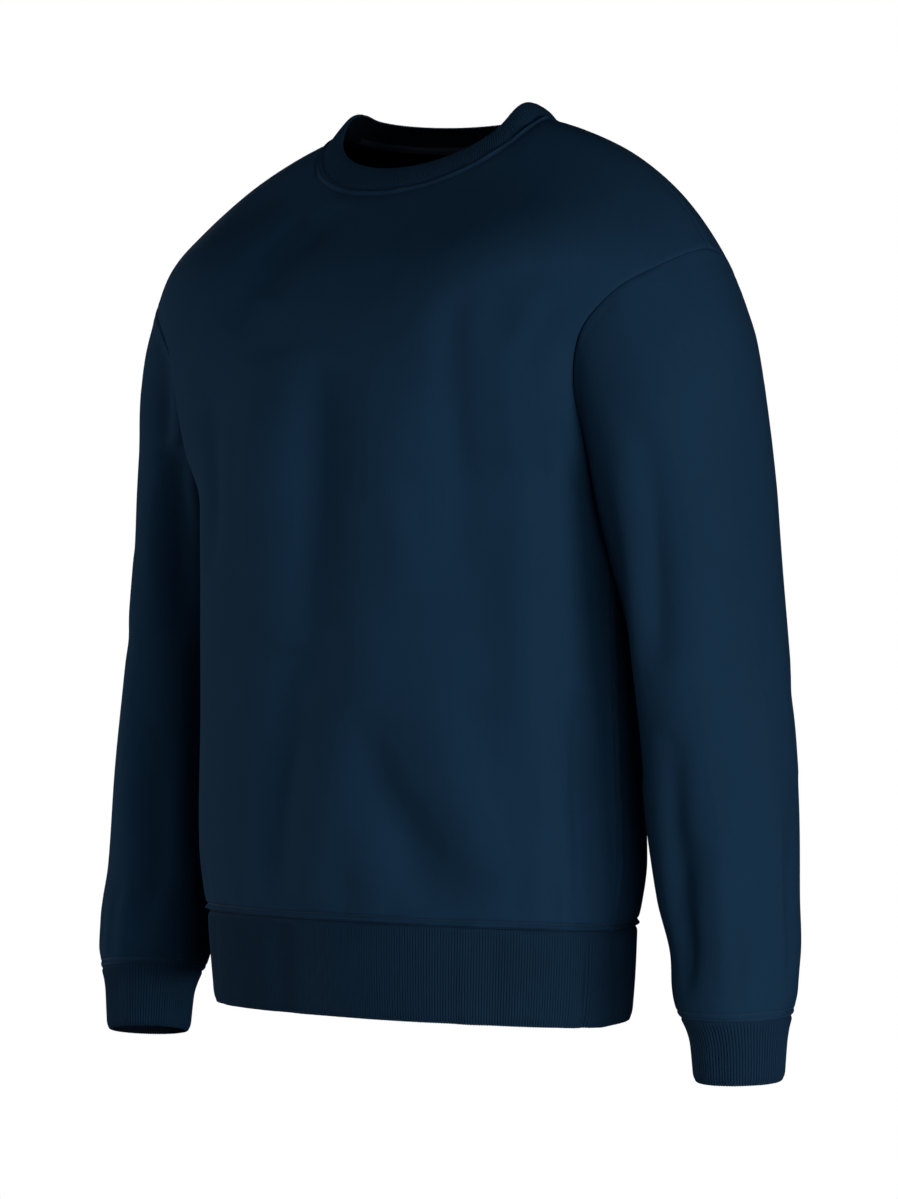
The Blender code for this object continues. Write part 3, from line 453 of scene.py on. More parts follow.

# Wales and courses, and the scale of a noise, are counts a metre. A knit's shares are those of its
# stripes, clouds, nap and stitches in its tone. The rib knit's stripes are painted shade between its
# ribs, and the stitches' share is painted shade in the grooves between their legs.
Noise = namedtuple("Noise", "scale detail roughness")
Knit = namedtuple("Knit", "wales courses nap cloud shares look")
FLEECE = Knit(
    900, 1050, Noise(1400.0, 2.0, 0.7), Noise(14.0, 3.0, 0.55), (0.25, 0.35, 0.15, 0.25), FLEECE_LOOK
)
RIB = Knit(
    2 / RIB_PITCH, 1150, Noise(1600.0, 2.0, 0.7), Noise(22.0, 2.0, 0.55), (0.55, 0.2, 0.12, 0.13), RIB_LOOK
)
STREAKS = Noise(1.0, 2.0, 0.55)
STREAK_SCALE = (260.0, 18.0, 1.0)
INSIDE_FUZZ = Noise(700.0, 3.0, 0.7)
TAPE_NAP = Noise(1800.0, 2.0, 0.6)
# Shares of the tape's tone: painted shade in its weave's grooves, and its nap.
TAPE_SHARES = (0.7, 0.3)
NAP_HEIGHT = 0.8
KNIT_SLANT = 0.22
KNIT_LOW = 0.25
KNIT_ROUND = 0.5
TWILL_PITCH = 0.0009
STRAND_PITCH = 0.0007

# Lamps, floor and camera. Azimuth is from the wearer's front towards the left, in degrees.
Lamp = namedtuple("Lamp", "name azimuth elevation distance size watts")
LIGHTS = (
    Lamp("low_front", 55, -15, 3.3, 1.2, 45.0),
    Lamp("low_side", 80, -8, 3.3, 1.2, 52.0),
    Lamp("high_side", 65, 40, 3.3, 1.2, 9.0),
    Lamp("high_front", -12, 38, 3.3, 1.2, 9.0),
    Lamp("front_right", -48, 5, 3.3, 1.2, 16.0),
    Lamp("far_side", -74, -12, 3.3, 1.0, 36.0),
    Lamp("behind", 220, 8, 3.3, 1.6, 70.0),
)
LOOK_AT_Y = -0.036
LOOK_AT_Z = -0.37
FLOOR_HEIGHT = -1.45
FLOOR_SIZE = 400.0
FLOOR_GLOW = 0.01
WORLD_GLOW = 0.01
CAMERA_AZIMUTH = 40.0
CAMERA_DISTANCE = 3.3
CAMERA_HEIGHT = -0.377
CAMERA_LENS = 124.3


# Curves


def slopes(at, values):
    """Slopes for a smooth curve through a table's values, which never overshoots them."""
    step = np.diff(at)
    rise = np.diff(values) / step
    slope = np.zeros(len(values))
    for i in range(1, len(values) - 1):
        before, after = rise[i - 1], rise[i]
        if before * after > 0:
            a = 2 * step[i] + step[i - 1]
            b = step[i] + 2 * step[i - 1]
            slope[i] = (a + b) / (a / before + b / after)
    slope[0], slope[-1] = rise[0], rise[-1]
    return slope


def read_column(table, key, name, where, sign=1):
    """One column of a table, read between its rows by a smooth curve."""
    at = np.array([sign * getattr(row, key) for row in table])
    values = np.array([getattr(row, name) for row in table])
    slope = slopes(at, values)
    where = sign * np.asarray(where, float)
    i = np.clip(np.searchsorted(at, where, side="right") - 1, 0, len(at) - 2)
    step = at[i + 1] - at[i]
    t = np.clip((where - at[i]) / step, 0, 1)
    return (
        values[i] * (1 + 2 * t) * (1 - t) ** 2
        + slope[i] * step * t * (1 - t) ** 2
        + values[i + 1] * t**2 * (3 - 2 * t)
        + slope[i + 1] * step * t**2 * (t - 1)
    )


def smooth(share):
    """Eases from 0 to 1."""
    share = np.clip(share, 0, 1)
    return share**2 * (3 - 2 * share)


def unit(vectors):
    return vectors / np.maximum(np.linalg.norm(vectors, axis=-1, keepdims=True), 1e-12)


def dot(a, b):
    return (a * b).sum(-1, keepdims=True)


# The body's and the sleeves' form


def body_point(u, v):
    """The body: u runs from the middle line, 0, to a side or armhole, 1, and is minus on the right."""
    u, v = np.broadcast_arrays(np.asarray(u, float), np.asarray(v, float))
    read = {name: read_column(SECTIONS, "v", name, v) for name in Section._fields[2:]}
    centre = np.stack([0 * v, read["centre_y"], read["centre_z"]], -1)
    edge = np.stack([read["edge_x"], read["edge_y"], read["edge_z"]], -1)
    heading = np.radians(read["heading"])
    dip = np.radians(read["dip"])
    level = np.cos(dip)
    end = np.stack([np.cos(heading) * level, np.sin(heading) * level, -np.sin(dip)], -1)
    fill = read["fill"][..., None]
    reach = np.abs(dot(edge - centre, end))
    first = centre + fill * (edge - centre)[..., :1] * np.array([1.0, 0, 0])
    last = edge - fill * reach * end
    t = np.abs(u)[..., None]
    point = (
        centre * (1 - t) ** 3
        + 3 * first * t * (1 - t) ** 2
        + 3 * last * t**2 * (1 - t)
        + edge * t**3
    )
    point[..., 0] *= np.where(u < 0, -1.0, 1.0)
    return point


def surface_frame(surface, a, b, step_a, step_b):
    """Unit tangents and the unit normal of a surface, by small steps."""
    along_a = unit(surface(a + step_a, b) - surface(a - step_a, b))
    along_b = unit(surface(a, b + step_b) - surface(a, b - step_b))
    return along_a, along_b, unit(np.cross(along_a, along_b))


def body_frame(u, v):
    """Tangents across and along the body, and its outward normal."""
    inside = np.clip(np.abs(u), 2 * STEP, 1 - 2 * STEP) * np.where(u < 0, -1.0, 1.0)
    v = np.clip(v, STEP - 1, 1 - STEP)
    across, along, normal = surface_frame(body_point, inside, v, STEP, STEP)
    middle = np.array([0.0, BODY_MIDDLE_Y, BODY_MIDDLE_Z])
    facing = dot(normal, body_point(inside, v) - middle)
    return across, along, normal * np.where(facing < 0, -1.0, 1.0)


def tube_point(turn, z):
    """The sleeve's tube: turn 0 is its outer side, and a quarter turn its front."""
    turn, z = np.broadcast_arrays(np.asarray(turn, float), np.asarray(z, float))
    read = {name: read_column(SLEEVE_RINGS, "z", name, z, -1) for name in Ring._fields[1:]}
    x = read["out_x"] - read["across"] * (1 - np.cos(turn))
    y = read["centre_y"] - read["depth"] * np.sin(turn)
    return np.stack([x, y, z], -1)


def lift_end(point, turn, share, arm):
    """Tilts the end of a sleeve or cuff by a share of its arm's lift."""
    z = point[..., 2]
    depth = read_column(SLEEVE_RINGS, "z", "depth", z, -1)
    across = read_column(SLEEVE_RINGS, "z", "across", z, -1)
    front = math.tan(math.radians(arm.front_lift)) * depth * np.sin(turn)
    inner = math.tan(math.radians(arm.inner_lift)) * across * -np.cos(turn)
    point[..., 2] = z + share * (front + inner)
    return point


def armhole_v(turn):
    """Where along the body the armhole is at a turn: 0 at the shoulder, and half a turn underneath."""
    share = np.where(turn <= math.pi, -turn, 2 * math.pi - turn) / math.pi
    return PIT_V * share


def sleeve_point(turn, w, arm=LEFT_ARM):
    """A sleeve as on the left, from its armhole at w 0 to its cuff seam at w 1."""
    turn, w = np.broadcast_arrays(np.asarray(turn, float), np.asarray(w, float))
    start = body_point(1.0, armhole_v(np.mod(turn, 2 * math.pi)))
    top = start[..., 2]
    z = top + (CUFF_SEAM - top) * w
    gap = start - tube_point(turn, top)
    fade = 1 - smooth((top - z) / SLEEVE_BLEND)
    point = tube_point(turn, z) + gap * fade[..., None]
    return lift_end(point, turn, w**4, arm)


def sleeve_frame(turn, w, arm=LEFT_ARM):
    """The tangent down the sleeve, and its outward normal."""

    def surface(a, b):
        return sleeve_point(a, b, arm)

    w = np.clip(w, 4 * STEP, 1 - 4 * STEP)
    _, down, normal = surface_frame(surface, turn, w, 4 * STEP, 4 * STEP)
    outward = np.where(dot(normal, surface(turn, w) - sleeve_axis(w, arm)) < 0, -1.0, 1.0)
    return down, normal * outward


def sleeve_axis(w, arm):
    """The middle of the sleeve, at the same share of its length."""
    rings = [sleeve_point(turn, w, arm) for turn in np.linspace(0, 2 * math.pi, 8, False)]
    return sum(rings) / len(rings)


# Folds


def through_middle(start, middle, end, share):
    """A smooth curve from a start through a middle to an end, at shares of its length."""
    weights = (1 - share) * (1 - 2 * share), 4 * share * (1 - share), share * (2 * share - 1)
    return sum(weight * place for weight, place in zip(weights, (start, middle, end)))


def fold_relief(folds, across, z, scale):
    """How far the folds raise the cloth, at each point. A trough is minus."""
    relief = np.zeros(np.broadcast(across, z).shape)
    steps = np.linspace(0, 1, FOLD_PARTS + 1)
    for fold in folds:
        line_a = through_middle(fold.across_1, fold.across_2, fold.across_3, steps) * scale
        line_b = through_middle(fold.z_1, fold.z_2, fold.z_3, steps)
        run_a, run_b = np.diff(line_a), np.diff(line_b)
        off_a = across[..., None] * scale - line_a[:-1]
        off_b = z[..., None] - line_b[:-1]
        part = np.clip((off_a * run_a + off_b * run_b) / (run_a**2 + run_b**2), 0, 1)
        away = np.hypot(off_a - part * run_a, off_b - part * run_b)
        nearest = away.argmin(-1)[..., None]
        along = (nearest + np.take_along_axis(part, nearest, -1))[..., 0] / FOLD_PARTS
        taper = (4 * along * (1 - along)) ** TAPER * smooth(along * (1 - along) / FOLD_END)
        relief -= fold.depth * taper * np.exp(-((away.min(-1) / fold.width) ** 2))
    return relief


def body_relief(u, v, z):
    """The folds of the front or back panel, faded out at its sides, shoulders and neck."""
    front = fold_relief(FRONT_FOLDS, u, z, PANEL_HALF_GIRTH)
    back = fold_relief(BACK_FOLDS, u, z, PANEL_HALF_GIRTH)
    side = smooth((1 - np.abs(u)) / SIDE_FADE)
    top = smooth(np.abs(v) / TOP_FADE)
    return np.where(v < 0, front, back) * side * top


def lapped_relief(folds, across, z, scale, lap):
    """The folds of a tube, whose across starts again after one lap."""
    return fold_relief(folds, across, z, scale) + fold_relief(folds, across - lap, z, scale)


def sleeve_folds(folds, turn, z):
    """The folds of a sleeve, whose across is in degrees."""
    return lapped_relief(folds, np.degrees(turn), z, SLEEVE_RADIUS * math.radians(1), 360)


def sleeve_relief(folds, turn, w, z):
    """The folds of one sleeve, faded out at its armhole and cuff seams."""
    return sleeve_folds(folds, turn, z) * smooth(w / ARMHOLE_FADE) * smooth((1 - w) / CUFF_FADE)


def shoulder_share():
    """The u of the neck's side point, on the shoulder seam."""
    low, high = 0.0, 1.0
    for _ in range(40):
        middle = (low + high) / 2
        if body_point(middle, 0.0)[0] < NECK_HALF_WIDTH:
            low = middle
        else:
            high = middle
    return (low + high) / 2


NECK_U = shoulder_share()
NECK_SIDE_Z = float(body_point(NECK_U, 0.0)[2])


def neck_v(u, front):
    """Where the neck seam crosses the column of the front or back panel at u."""
    drop = FRONT_NECK_DROP if front else BACK_NECK_DROP
    sign = -1 if front else 1
    near, far = np.zeros_like(u), np.full_like(u, PIT_V / 2)
    for _ in range(40):
        middle = (near + far) / 2
        point = body_point(u, sign * middle)
        share = np.clip(np.abs(point[..., 0]) / NECK_HALF_WIDTH, 0, 1)
        seam = NECK_SIDE_Z - drop * (1 - share**NECK_ROUNDNESS) ** (1 / NECK_ROUNDNESS)
        inside = (point[..., 2] > seam) & (share < 1)
        near = np.where(inside, middle, near)
        far = np.where(inside, far, middle)
    return sign * np.where(np.abs(u) < NECK_U - 1e-9, (near + far) / 2, 0.0)


# Sewn edges


def seam_shift(inward, normal, other_inward, other_normal):
    """How a sewn edge moves off its seam line, and the direction that its thickness takes."""
    crease = dot(inward + other_inward, normal + other_normal)
    closing = np.clip(np.linalg.norm(inward + other_inward, axis=-1, keepdims=True) / 2, 0, 1)
    closing = np.where(crease > 0, closing, 0)
    thick = np.where(crease > 0, normal, unit(normal + other_normal))
    shift = SEAM_GAP / 2 * (inward - normal * closing)
    return shift, thick


def mirrored(points):
    return points * np.array([-1.0, 1.0, 1.0])


def armhole_frames(v):
    """At the left armhole: the body's inward tangent and normal, and the sleeve's."""
    across, _, normal = body_frame(np.ones_like(v), v)
    turn = np.where(v <= 0, -v, 2 * PIT_V - v) / PIT_V * math.pi
    down, sleeve_normal = sleeve_frame(turn, np.zeros_like(turn))
    return -across, normal, down, sleeve_normal


def end_crowded(count, crowding):
    """Steps from 0 to 1, closer together towards both ends."""
    t = np.linspace(0, 1, count + 1)
    return t - crowding * np.sin(2 * math.pi * t) / (2 * math.pi)


def top_columns():
    """The u of each column of a panel at its top, from the wearer's right to the left."""
    neck = NECK_U * np.sin(np.linspace(0, math.pi / 2, NECK_COLUMNS + 1))
    shoulder = NECK_U + (1 - NECK_U) * end_crowded(SHOULDER_COLUMNS, SHOULDER_CROWDING)
    half = np.concatenate([neck, shoulder[1:]])
    return np.concatenate([-half[::-1], half[1:]])


def panel_grid(front):
    """The u and v of each point of a panel: rows from the hem up to the neck and shoulders."""
    top = top_columns()
    even = np.linspace(-1, 1, len(top))
    even = (1 - SIDE_CROWDING) * even + SIDE_CROWDING * np.sin(math.pi / 2 * even)
    side = 1 - (1 - PIT_V) * np.linspace(0, 1, SIDE_ROWS + 1) ** ROW_CROWDING
    top_v = np.abs(neck_v(top, front))
    share = 1 - (1 - np.linspace(0, 1, UPPER_ROWS + 1)[1:, None]) ** ROW_CROWDING
    upper_v = PIT_V + (top_v - PIT_V) * share
    upper_u = even + (top - even) * share**2
    v = np.concatenate([np.repeat(side[:, None], len(top), 1), upper_v])
    u = np.concatenate([np.repeat(even[None, :], len(side), 0), upper_u])
    return u, v if not front else -v


# The cloth beside seams


def value_noise(seed, x, y, period=64):
    """Smooth noise from -1 to 1 with one lump a unit, repeating along x after period units."""
    lattice = np.random.default_rng(seed).uniform(-1, 1, (period, 64))
    i, j = np.floor(x).astype(int), np.floor(y).astype(int)
    a, b = smooth(x - i), smooth(y - j)
    i0, i1, j0, j1 = i % period, (i + 1) % period, j % 64, (j + 1) % 64
    low = lattice[i0, j0] * (1 - a) + lattice[i1, j0] * a
    high = lattice[i0, j1] * (1 - a) + lattice[i1, j1] * a
    return low * (1 - b) + high * b


def lengths(line):
    """How far along a line each of its points is."""
    return np.concatenate([[0], np.cumsum(np.linalg.norm(np.diff(line, axis=0), axis=1))])


def distance_to(line, points):
    """Distance from each point of a grid to a line given by close points, and how far along it is."""
    tree = KDTree(len(line))
    for i, place in enumerate(line):
        tree.insert(place, i)
    tree.balance()
    found = np.array([tree.find(place)[1:] for place in points.reshape(-1, 3)])
    along = lengths(line)[found[:, 0].astype(int)]
    return found[:, 1].reshape(points.shape[:2]), along.reshape(points.shape[:2])


def levelled(directions, share):
    """Directions turned towards the level by a share from 0 to 1."""
    turned = directions.copy()
    turned[..., 2] *= 1 - share
    return unit(turned)


def seam_relief(seam, away, along, seed):
    """The cloth's groove, swell and stitch line beside a seam, uneven along it."""
    uneven = 1 + SEAM_UNEVEN * value_noise(seed, along / SEAM_LUMP, along * 0)
    groove = seam.depth * np.exp(-((away / seam.width) ** 2))
    swell = seam.swell * uneven * np.exp(-(((away - seam.swell_at) / seam.swell_width) ** 2))
    stitch = seam.stitch_depth * np.exp(-(((away - seam.stitch_at) / STITCH_GROOVE) ** 2))
    return swell - groove - stitch


def gathered(gather, seed, along, away, period=64):
    """Puckers that a seam's gathers leave in the cloth beside it. Along is in lumps."""
    noise = value_noise(seed, along, away / gather.length, period)
    return gather.height * noise * smooth(away / gather.full) * np.exp(-away / gather.reach)


def neck_columns(count):
    """The u of close points along the neck's seam."""
    return NECK_U * np.sin(np.linspace(-math.pi / 2, math.pi / 2, count))


def panel_seams(front):
    """The seam lines round a panel, by name, as close points."""
    sign = -1.0 if front else 1.0
    neck = neck_columns(1401)
    lines = {
        "neck": [body_point(neck, neck_v(neck, front))],
        "hem": [body_point(np.linspace(-1, 1, 1101), sign)],
        "shoulder": [],
        "armhole": [],
        "side": [],
    }
    for side in (-1.0, 1.0):
        lines["shoulder"].append(body_point(side * np.linspace(NECK_U, 1, 401), 0.0))
        lines["armhole"].append(body_point(side, sign * np.linspace(0, PIT_V, 601)))
        lines["side"].append(body_point(side, sign * np.linspace(PIT_V, 1, 701)))
    return lines


def beside_seams(front, base, seed):
    """A panel's relief beside its seams, how free of them it is, how far each is, and the hem's run."""
    free, relief = np.ones(base.shape[:2]), np.zeros(base.shape[:2])
    near, run = {}, {}
    for name, lines in panel_seams(front).items():
        for number, line in enumerate(lines):
            away, run[name] = distance_to(line, base)
            free *= smooth(away / SEAM_FREE)
            relief += seam_relief(SEAMS[name], away, run[name], seed + number)
            near[name] = np.minimum(near.get(name, away), away)
    return relief, free, near, run["hem"]


def cloth_noise(seed, across, down, period_large=64, period_small=64):
    """Slow drapes and small ripples of soft cloth, which run mostly up and down."""
    large = value_noise(seed, across[0], down / DRAPE_LUMP.length, period_large)
    small = value_noise(seed + 1, across[1], down / RIPPLE_LUMP.length, period_small)
    return DRAPE_LUMP.height * large + RIPPLE_LUMP.height * small


# Panels and sleeves


def panel_relief(front, u, v, base):
    """How far a panel's folds, seams and soft lumps raise it, and how far each seam is."""
    seed = FRONT_SEED if front else BACK_SEED
    seams, free, near, at_hem = beside_seams(front, base, seed)
    creases = FRONT_DRAPES + FRONT_CREASES if front else BACK_DRAPES + BACK_CREASES
    arc, z = u * PANEL_HALF_GIRTH, base[..., 2]
    relief = body_relief(u, v, z) + seams
    relief += fold_relief(creases, u, z, PANEL_HALF_GIRTH) * free
    relief += cloth_noise(seed, (arc / DRAPE_LUMP.width, arc / RIPPLE_LUMP.width), z) * free
    hem = gathered(HEM_GATHER, seed + 5, at_hem / HEM_PUCKER, near["hem"])
    relief += hem * smooth((1 - np.abs(u)) / HEM_GATHER_FADE)
    return relief, near


def panel_surface(front):
    """Outer and inner points of a panel, with each sewn edge set back from its seam line."""
    u, v = panel_grid(front)
    across, along, normal = body_frame(u, v)
    base = body_point(u, v)
    relief, seam_away = panel_relief(front, u, v, base)
    from_neck = levelled(base - neck_line().mean(0), 1.0)
    near_neck = 1 - smooth(seam_away["neck"] / NECK_REACH)[..., None]
    outward = unit(normal * (1 - near_neck) + from_neck * near_neck)
    outer = base + outward * relief[..., None]
    thick = normal.copy()
    down = -along if front else along
    outer[0] -= down[0] * SEAM_GAP / 2
    outer[-1] += down[-1] * SEAM_GAP / 2
    pit = SIDE_ROWS
    for column, side in ((0, -1.0), (-1, 1.0)):
        outer[:pit, column] -= side * across[:pit, column] * SEAM_GAP / 2
        inward, body_normal, sleeve_down, sleeve_normal = armhole_frames(v[pit:, column])
        shift, lean = seam_shift(inward, body_normal, sleeve_down, sleeve_normal)
        if side < 0:
            shift, lean = mirrored(shift), mirrored(lean)
        outer[pit:, column] += shift
        near = (1 - smooth(seam_away["armhole"][pit:] / LEAN_REACH)) * (u[pit:] * side > 0)
        thick[pit:] = unit(thick[pit:] * (1 - near[..., None]) + lean[:, None] * near[..., None])
    return outer, outer - thick * BODY_CLOTH


def sleeve_grid():
    """The turn and w of each point of a sleeve: rows down from the armhole to the cuff."""
    even = np.arange(SLEEVE_COLUMNS) * 2 * math.pi / SLEEVE_COLUMNS
    turn = even + UNDERARM_CROWDING * np.sin(even)
    return np.meshgrid(turn, end_crowded(SLEEVE_ROWS, SLEEVE_CROWDING))


def soft_sleeve_relief(creases, seed, turn, z, free, to_armhole, to_cuff):
    """How far a sleeve's creases, lumps and gathers raise it, least on its inner side."""
    outer_side = 1 - np.clip(-np.cos(turn), 0, 1) ** 2
    cycle = turn / (2 * math.pi)
    large, small = DRAPE_LUMP.round_sleeve, RIPPLE_LUMP.round_sleeve
    noise = cloth_noise(seed + 3, (cycle * large, cycle * small), z, large, small)
    relief = (sleeve_folds(creases, turn, z) + noise) * free
    relief += gathered(HEAD_GATHER, seed + 5, cycle * HEAD_PUCKERS, to_armhole, HEAD_PUCKERS)
    relief *= outer_side
    return relief + gathered(CUFF_GATHER, seed + 6, cycle * CUFF_PUCKERS, to_cuff, CUFF_PUCKERS)


def sleeve_surface(arm, creases, seed):
    """Outer and inner points of a sleeve as on the left, rows down from the armhole."""
    turn, w = sleeve_grid()
    down, normal = sleeve_frame(turn, w, arm)
    base = sleeve_point(turn, w, arm)
    steps = np.linalg.norm(np.diff(base, axis=0), axis=2)
    to_armhole = np.concatenate([0 * steps[:1], np.cumsum(steps, 0)])
    to_cuff = to_armhole[-1:] - to_armhole
    to_seam, at_seam = distance_to(sleeve_point(math.pi, np.linspace(0, 1, 1201), arm), base)
    around, z = turn * SLEEVE_RADIUS, base[..., 2]
    free = smooth(to_armhole / SEAM_FREE) * smooth(to_cuff / SEAM_FREE)
    relief = sleeve_relief(arm.folds, turn, w, z)
    relief += seam_relief(SEAMS["armhole"], to_armhole, around, seed)
    relief += seam_relief(SEAMS["cuff"], to_cuff, around, seed + 1)
    relief += seam_relief(SEAMS["underarm"], to_seam, at_seam, seed + 2) * free
    relief += soft_sleeve_relief(creases, seed, turn, z, free, to_armhole, to_cuff)
    outward = levelled(normal, 1 - smooth(to_cuff / LEVEL_REACH))
    outer = base + outward * relief[..., None]
    inward, body_normal, sleeve_down, sleeve_normal = armhole_frames(armhole_v(turn[0]))
    shift, lean = seam_shift(sleeve_down, sleeve_normal, inward, body_normal)
    outer[0] += shift
    outer[-1] -= down[-1] * SEAM_GAP / 2
    near = (1 - smooth(to_armhole / LEAN_REACH))[..., None]
    return outer, outer - unit(normal * (1 - near) + lean[None] * near) * BODY_CLOTH


# Neckband, hem band, cuffs and tape


def closed_ring(ring):
    return np.concatenate([ring, ring[:1]])


def all_round(front, back):
    """One ring from a front and a back line, which share their ends."""
    return np.concatenate([front, back[::-1][1:-1]])


def read_line(values, length, where):
    """Values read from a line's points at distances along it."""
    return np.stack([np.interp(where, length, values[:, k]) for k in range(3)], 1)


def along_ring(ring, count):
    """Points at even steps along a closed line, their outward directions, and the corners passed."""
    closed, outward = closed_ring(ring), closed_ring(level_normal(ring))
    length = lengths(closed)
    at = np.arange(count) / count * length[-1]
    corners = np.interp(at, length, np.arange(len(closed)))
    return read_line(closed, length, at), unit(read_line(outward, length, at)), corners


def level_normal(ring):
    """Outward and level directions at the points of a closed line."""
    ahead = unit(np.roll(ring, -1, 0) - ring)
    tangent = ahead + np.roll(ahead, 1, 0)
    side = np.stack([tangent[:, 1], -tangent[:, 0], 0 * tangent[:, 0]], 1)
    away = ring - ring.mean(0)
    side *= np.where(dot(side[:, :2], away[:, :2]) < 0, -1.0, 1.0)
    return unit(side)


def hem_line():
    """The seam line at the bottom of the body, all round."""
    halves = []
    for end in (-1.0, 1.0):
        u = np.linspace(-1, 1, 401)
        v = np.full_like(u, end)
        base = body_point(u, v)
        _, _, normal = body_frame(u, v)
        halves.append(base + normal * body_relief(u, v, base[..., 2])[..., None])
    return all_round(*halves)


def cuff_line(arm):
    """The seam line at the end of a sleeve as on the left."""
    turn = np.arange(RING_POINTS) * 2 * math.pi / RING_POINTS
    return sleeve_point(turn, 1.0, arm)


def neck_line(count=401):
    """The seam line round the neck."""
    u = neck_columns(count)
    return all_round(*(body_point(u, neck_v(u, front)) for front in (True, False)))


def hem_grid(share, count):
    """Points of the hem band at shares of its height, and their outward directions."""
    top, normals, _ = along_ring(hem_line(), count)
    middle = np.array([0.0, BODY_MIDDLE_Y, 0.0])
    low = middle + (top - middle) * np.array([1 - HEM_TUCK, 1 - HEM_TUCK, 1.0])
    low[:, 2] -= HEM_HEIGHT
    top[:, 2] -= SEAM_GAP / 2
    return top + (low - top) * share[..., None], normals


def cuff_grid(share, count, arm):
    """Points of a cuff at shares of its height as on the left, and their outward directions."""
    _, normals, corner = along_ring(cuff_line(arm), count)
    turn = corner[None] * 2 * math.pi / RING_POINTS
    z = CUFF_SEAM - SEAM_GAP / 2 + (arm.cuff_end - CUFF_SEAM) * share
    return lift_end(tube_point(turn, z), turn, 1.0, arm), normals


def band_ends(count):
    """Seam, middle and rim points of the neckband, and its outward directions."""
    seam, level, _ = along_ring(neck_line(), count)
    facing = np.clip(-level[:, 1:2], 0, 1) ** 2
    behind = np.clip(level[:, 1:2], 0, 1) ** 2
    lean = BAND_LEAN - FRONT_LEAN_LESS * facing - BACK_LEAN_LESS * behind
    rise = BAND_RISE + FRONT_RISE_MORE * facing + BACK_RISE_MORE * behind - BAND_TILT * level[:, :1]
    upright = np.array([0.0, 0.0, 1.0])
    rim = seam - level * lean + upright * rise
    up = unit(rim - seam)
    normal = unit(level * rise + upright * lean)
    start = seam + up * SEAM_GAP / 2 - normal * SEAM_GAP / 2
    return start, (seam + rim) / 2 + BAND_BULGE * normal, rim, normal


def folded_band(outer, normals, thickness, rib_share):
    """A band folded double: outer rows to its folded edge, round it, and back up inside.

    outer is rows by columns by 3, from the seam to the edge. rib_share is how much of the ribs'
    height each outer row has. Returns the rows of a surface that closes on itself.
    """
    radius = thickness / 2
    way = unit(outer[-1] - outer[-2])
    rows = list(outer[:-1]) + [outer[-1] - way * radius]
    shares = list(rib_share)
    facing = [normals] * len(rows)
    centre = rows[-1] - normals * radius
    for angle in np.linspace(0, math.pi, FOLD_STEPS + 2)[1:-1]:
        out = normals * math.cos(angle) + way * math.sin(angle)
        rows.append(centre + out * radius)
        facing.append(out)
        shares.append(rib_share[-1])
    for row, share in list(zip(rows, shares))[len(outer) - 1 :: -1]:
        rows.append(row - normals * thickness)
        facing.append(-normals)
        shares.append(share)
    rows, facing = np.array(rows), np.array(facing)
    count = outer.shape[1]
    wander = 1 + RIB_WANDER * value_noise(RIB_SEED, np.arange(count) / RIB_LUMP, np.zeros(count))
    raised = RIB_HEIGHT * (np.resize(RIB_STEPS, count) * wander)[None] * np.array(shares)[:, None]
    inside = np.arange(len(rows)) >= len(outer) + FOLD_STEPS
    raised -= RIB_HEIGHT * inside[:, None]
    return rows + facing * raised[..., None]


def band_rows():
    """Shares of a band's height for its rows, closer together at the seam and at the folded edge."""
    return np.concatenate([[0, 0.012, 0.03, 0.06], np.linspace(0.12, 0.88, 12), [0.93, 0.97, 1.0]])


def band_relief(share, height, curl):
    """The long section of a band: tucked into its seam, a little full, and curled in at its edge."""
    tuck = SEAM_TUCK * np.exp(-((share * height / TUCK_REACH) ** 2))
    curled = curl * smooth((share - CURL_START) / (1 - CURL_START)) ** 2
    return BAND_FULLNESS * np.sin(math.pi * share) - tuck - curled


def rib_band(grid, height, curl, folds, length, seed, lumps):
    """A hem band or cuff as the rows of a closed surface."""
    base, normals = grid
    share = band_rows()[:, None]
    cycle = np.arange(base.shape[1])[None] / base.shape[1]
    noise = BAND_NOISE * value_noise(seed, cycle * lumps, share * BAND_LUMPS, lumps)
    folded = lapped_relief(folds, cycle + 0 * share, base[..., 2], length, 1)
    relief = band_relief(share, height, curl)
    relief = relief + (noise + folded) * smooth(share * height / BAND_FREE)
    outer = base + normals * relief[..., None]
    return folded_band(outer, normals, RIB_CLOTH, smooth(share[:, 0] * height / RIB_START))


def neckband_surface():
    """The neckband as the rows of a closed surface, from its seam over its rim and back inside."""
    seam, middle, rim, normals = band_ends(BAND_RIBS * len(RIB_STEPS))
    share = np.concatenate([[0, 0.03, 0.07, 0.13], np.linspace(0.22, 0.9, 9), [1.0]])[:, None]
    outer = through_middle(seam[None], middle[None], rim[None], share[..., None])
    cycle = np.arange(len(seam))[None] / len(seam)
    noise = value_noise(NECK_SEED, cycle * NECK_LUMPS, share * NECK_BAND_LUMPS, NECK_LUMPS)
    relief = NECK_NOISE * noise * np.sin(math.pi * share)
    relief -= NECK_TUCK * np.exp(-((share * BAND_RISE / NECK_TUCK_REACH) ** 2))
    outer = outer + normals * relief[..., None]
    return folded_band(outer, normals, BAND_CLOTH, smooth(share[:, 0] * BAND_RISE / NECK_RIB_START))


def tape_surface():
    """Inner and outer points of the tape at the back of the neck, with its edges stitched down."""
    seam, _, rim, normals = band_ends(4 * BAND_RIBS)
    behind = np.nonzero(normals[:, 1] > TAPE_REACH)[0]
    up = unit(rim - seam)[behind]
    normal = normals[behind]
    low = seam[behind] - normal * (BAND_CLOTH + SEAM_GAP) + up * TAPE_ABOVE_SEAM
    share = np.linspace(0, 1, TAPE_ROWS)[:, None, None]
    from_edge = np.minimum(share, 1 - share) * TAPE_WIDTH
    sunk = TAPE_SWELL * (1 - smooth((from_edge - TAPE_STITCH_AT) / TAPE_STITCH_WIDTH))
    outer = low[None] + up[None] * TAPE_WIDTH * share
    return outer, outer - normal * (TAPE_CLOTH - sunk)


# Meshes


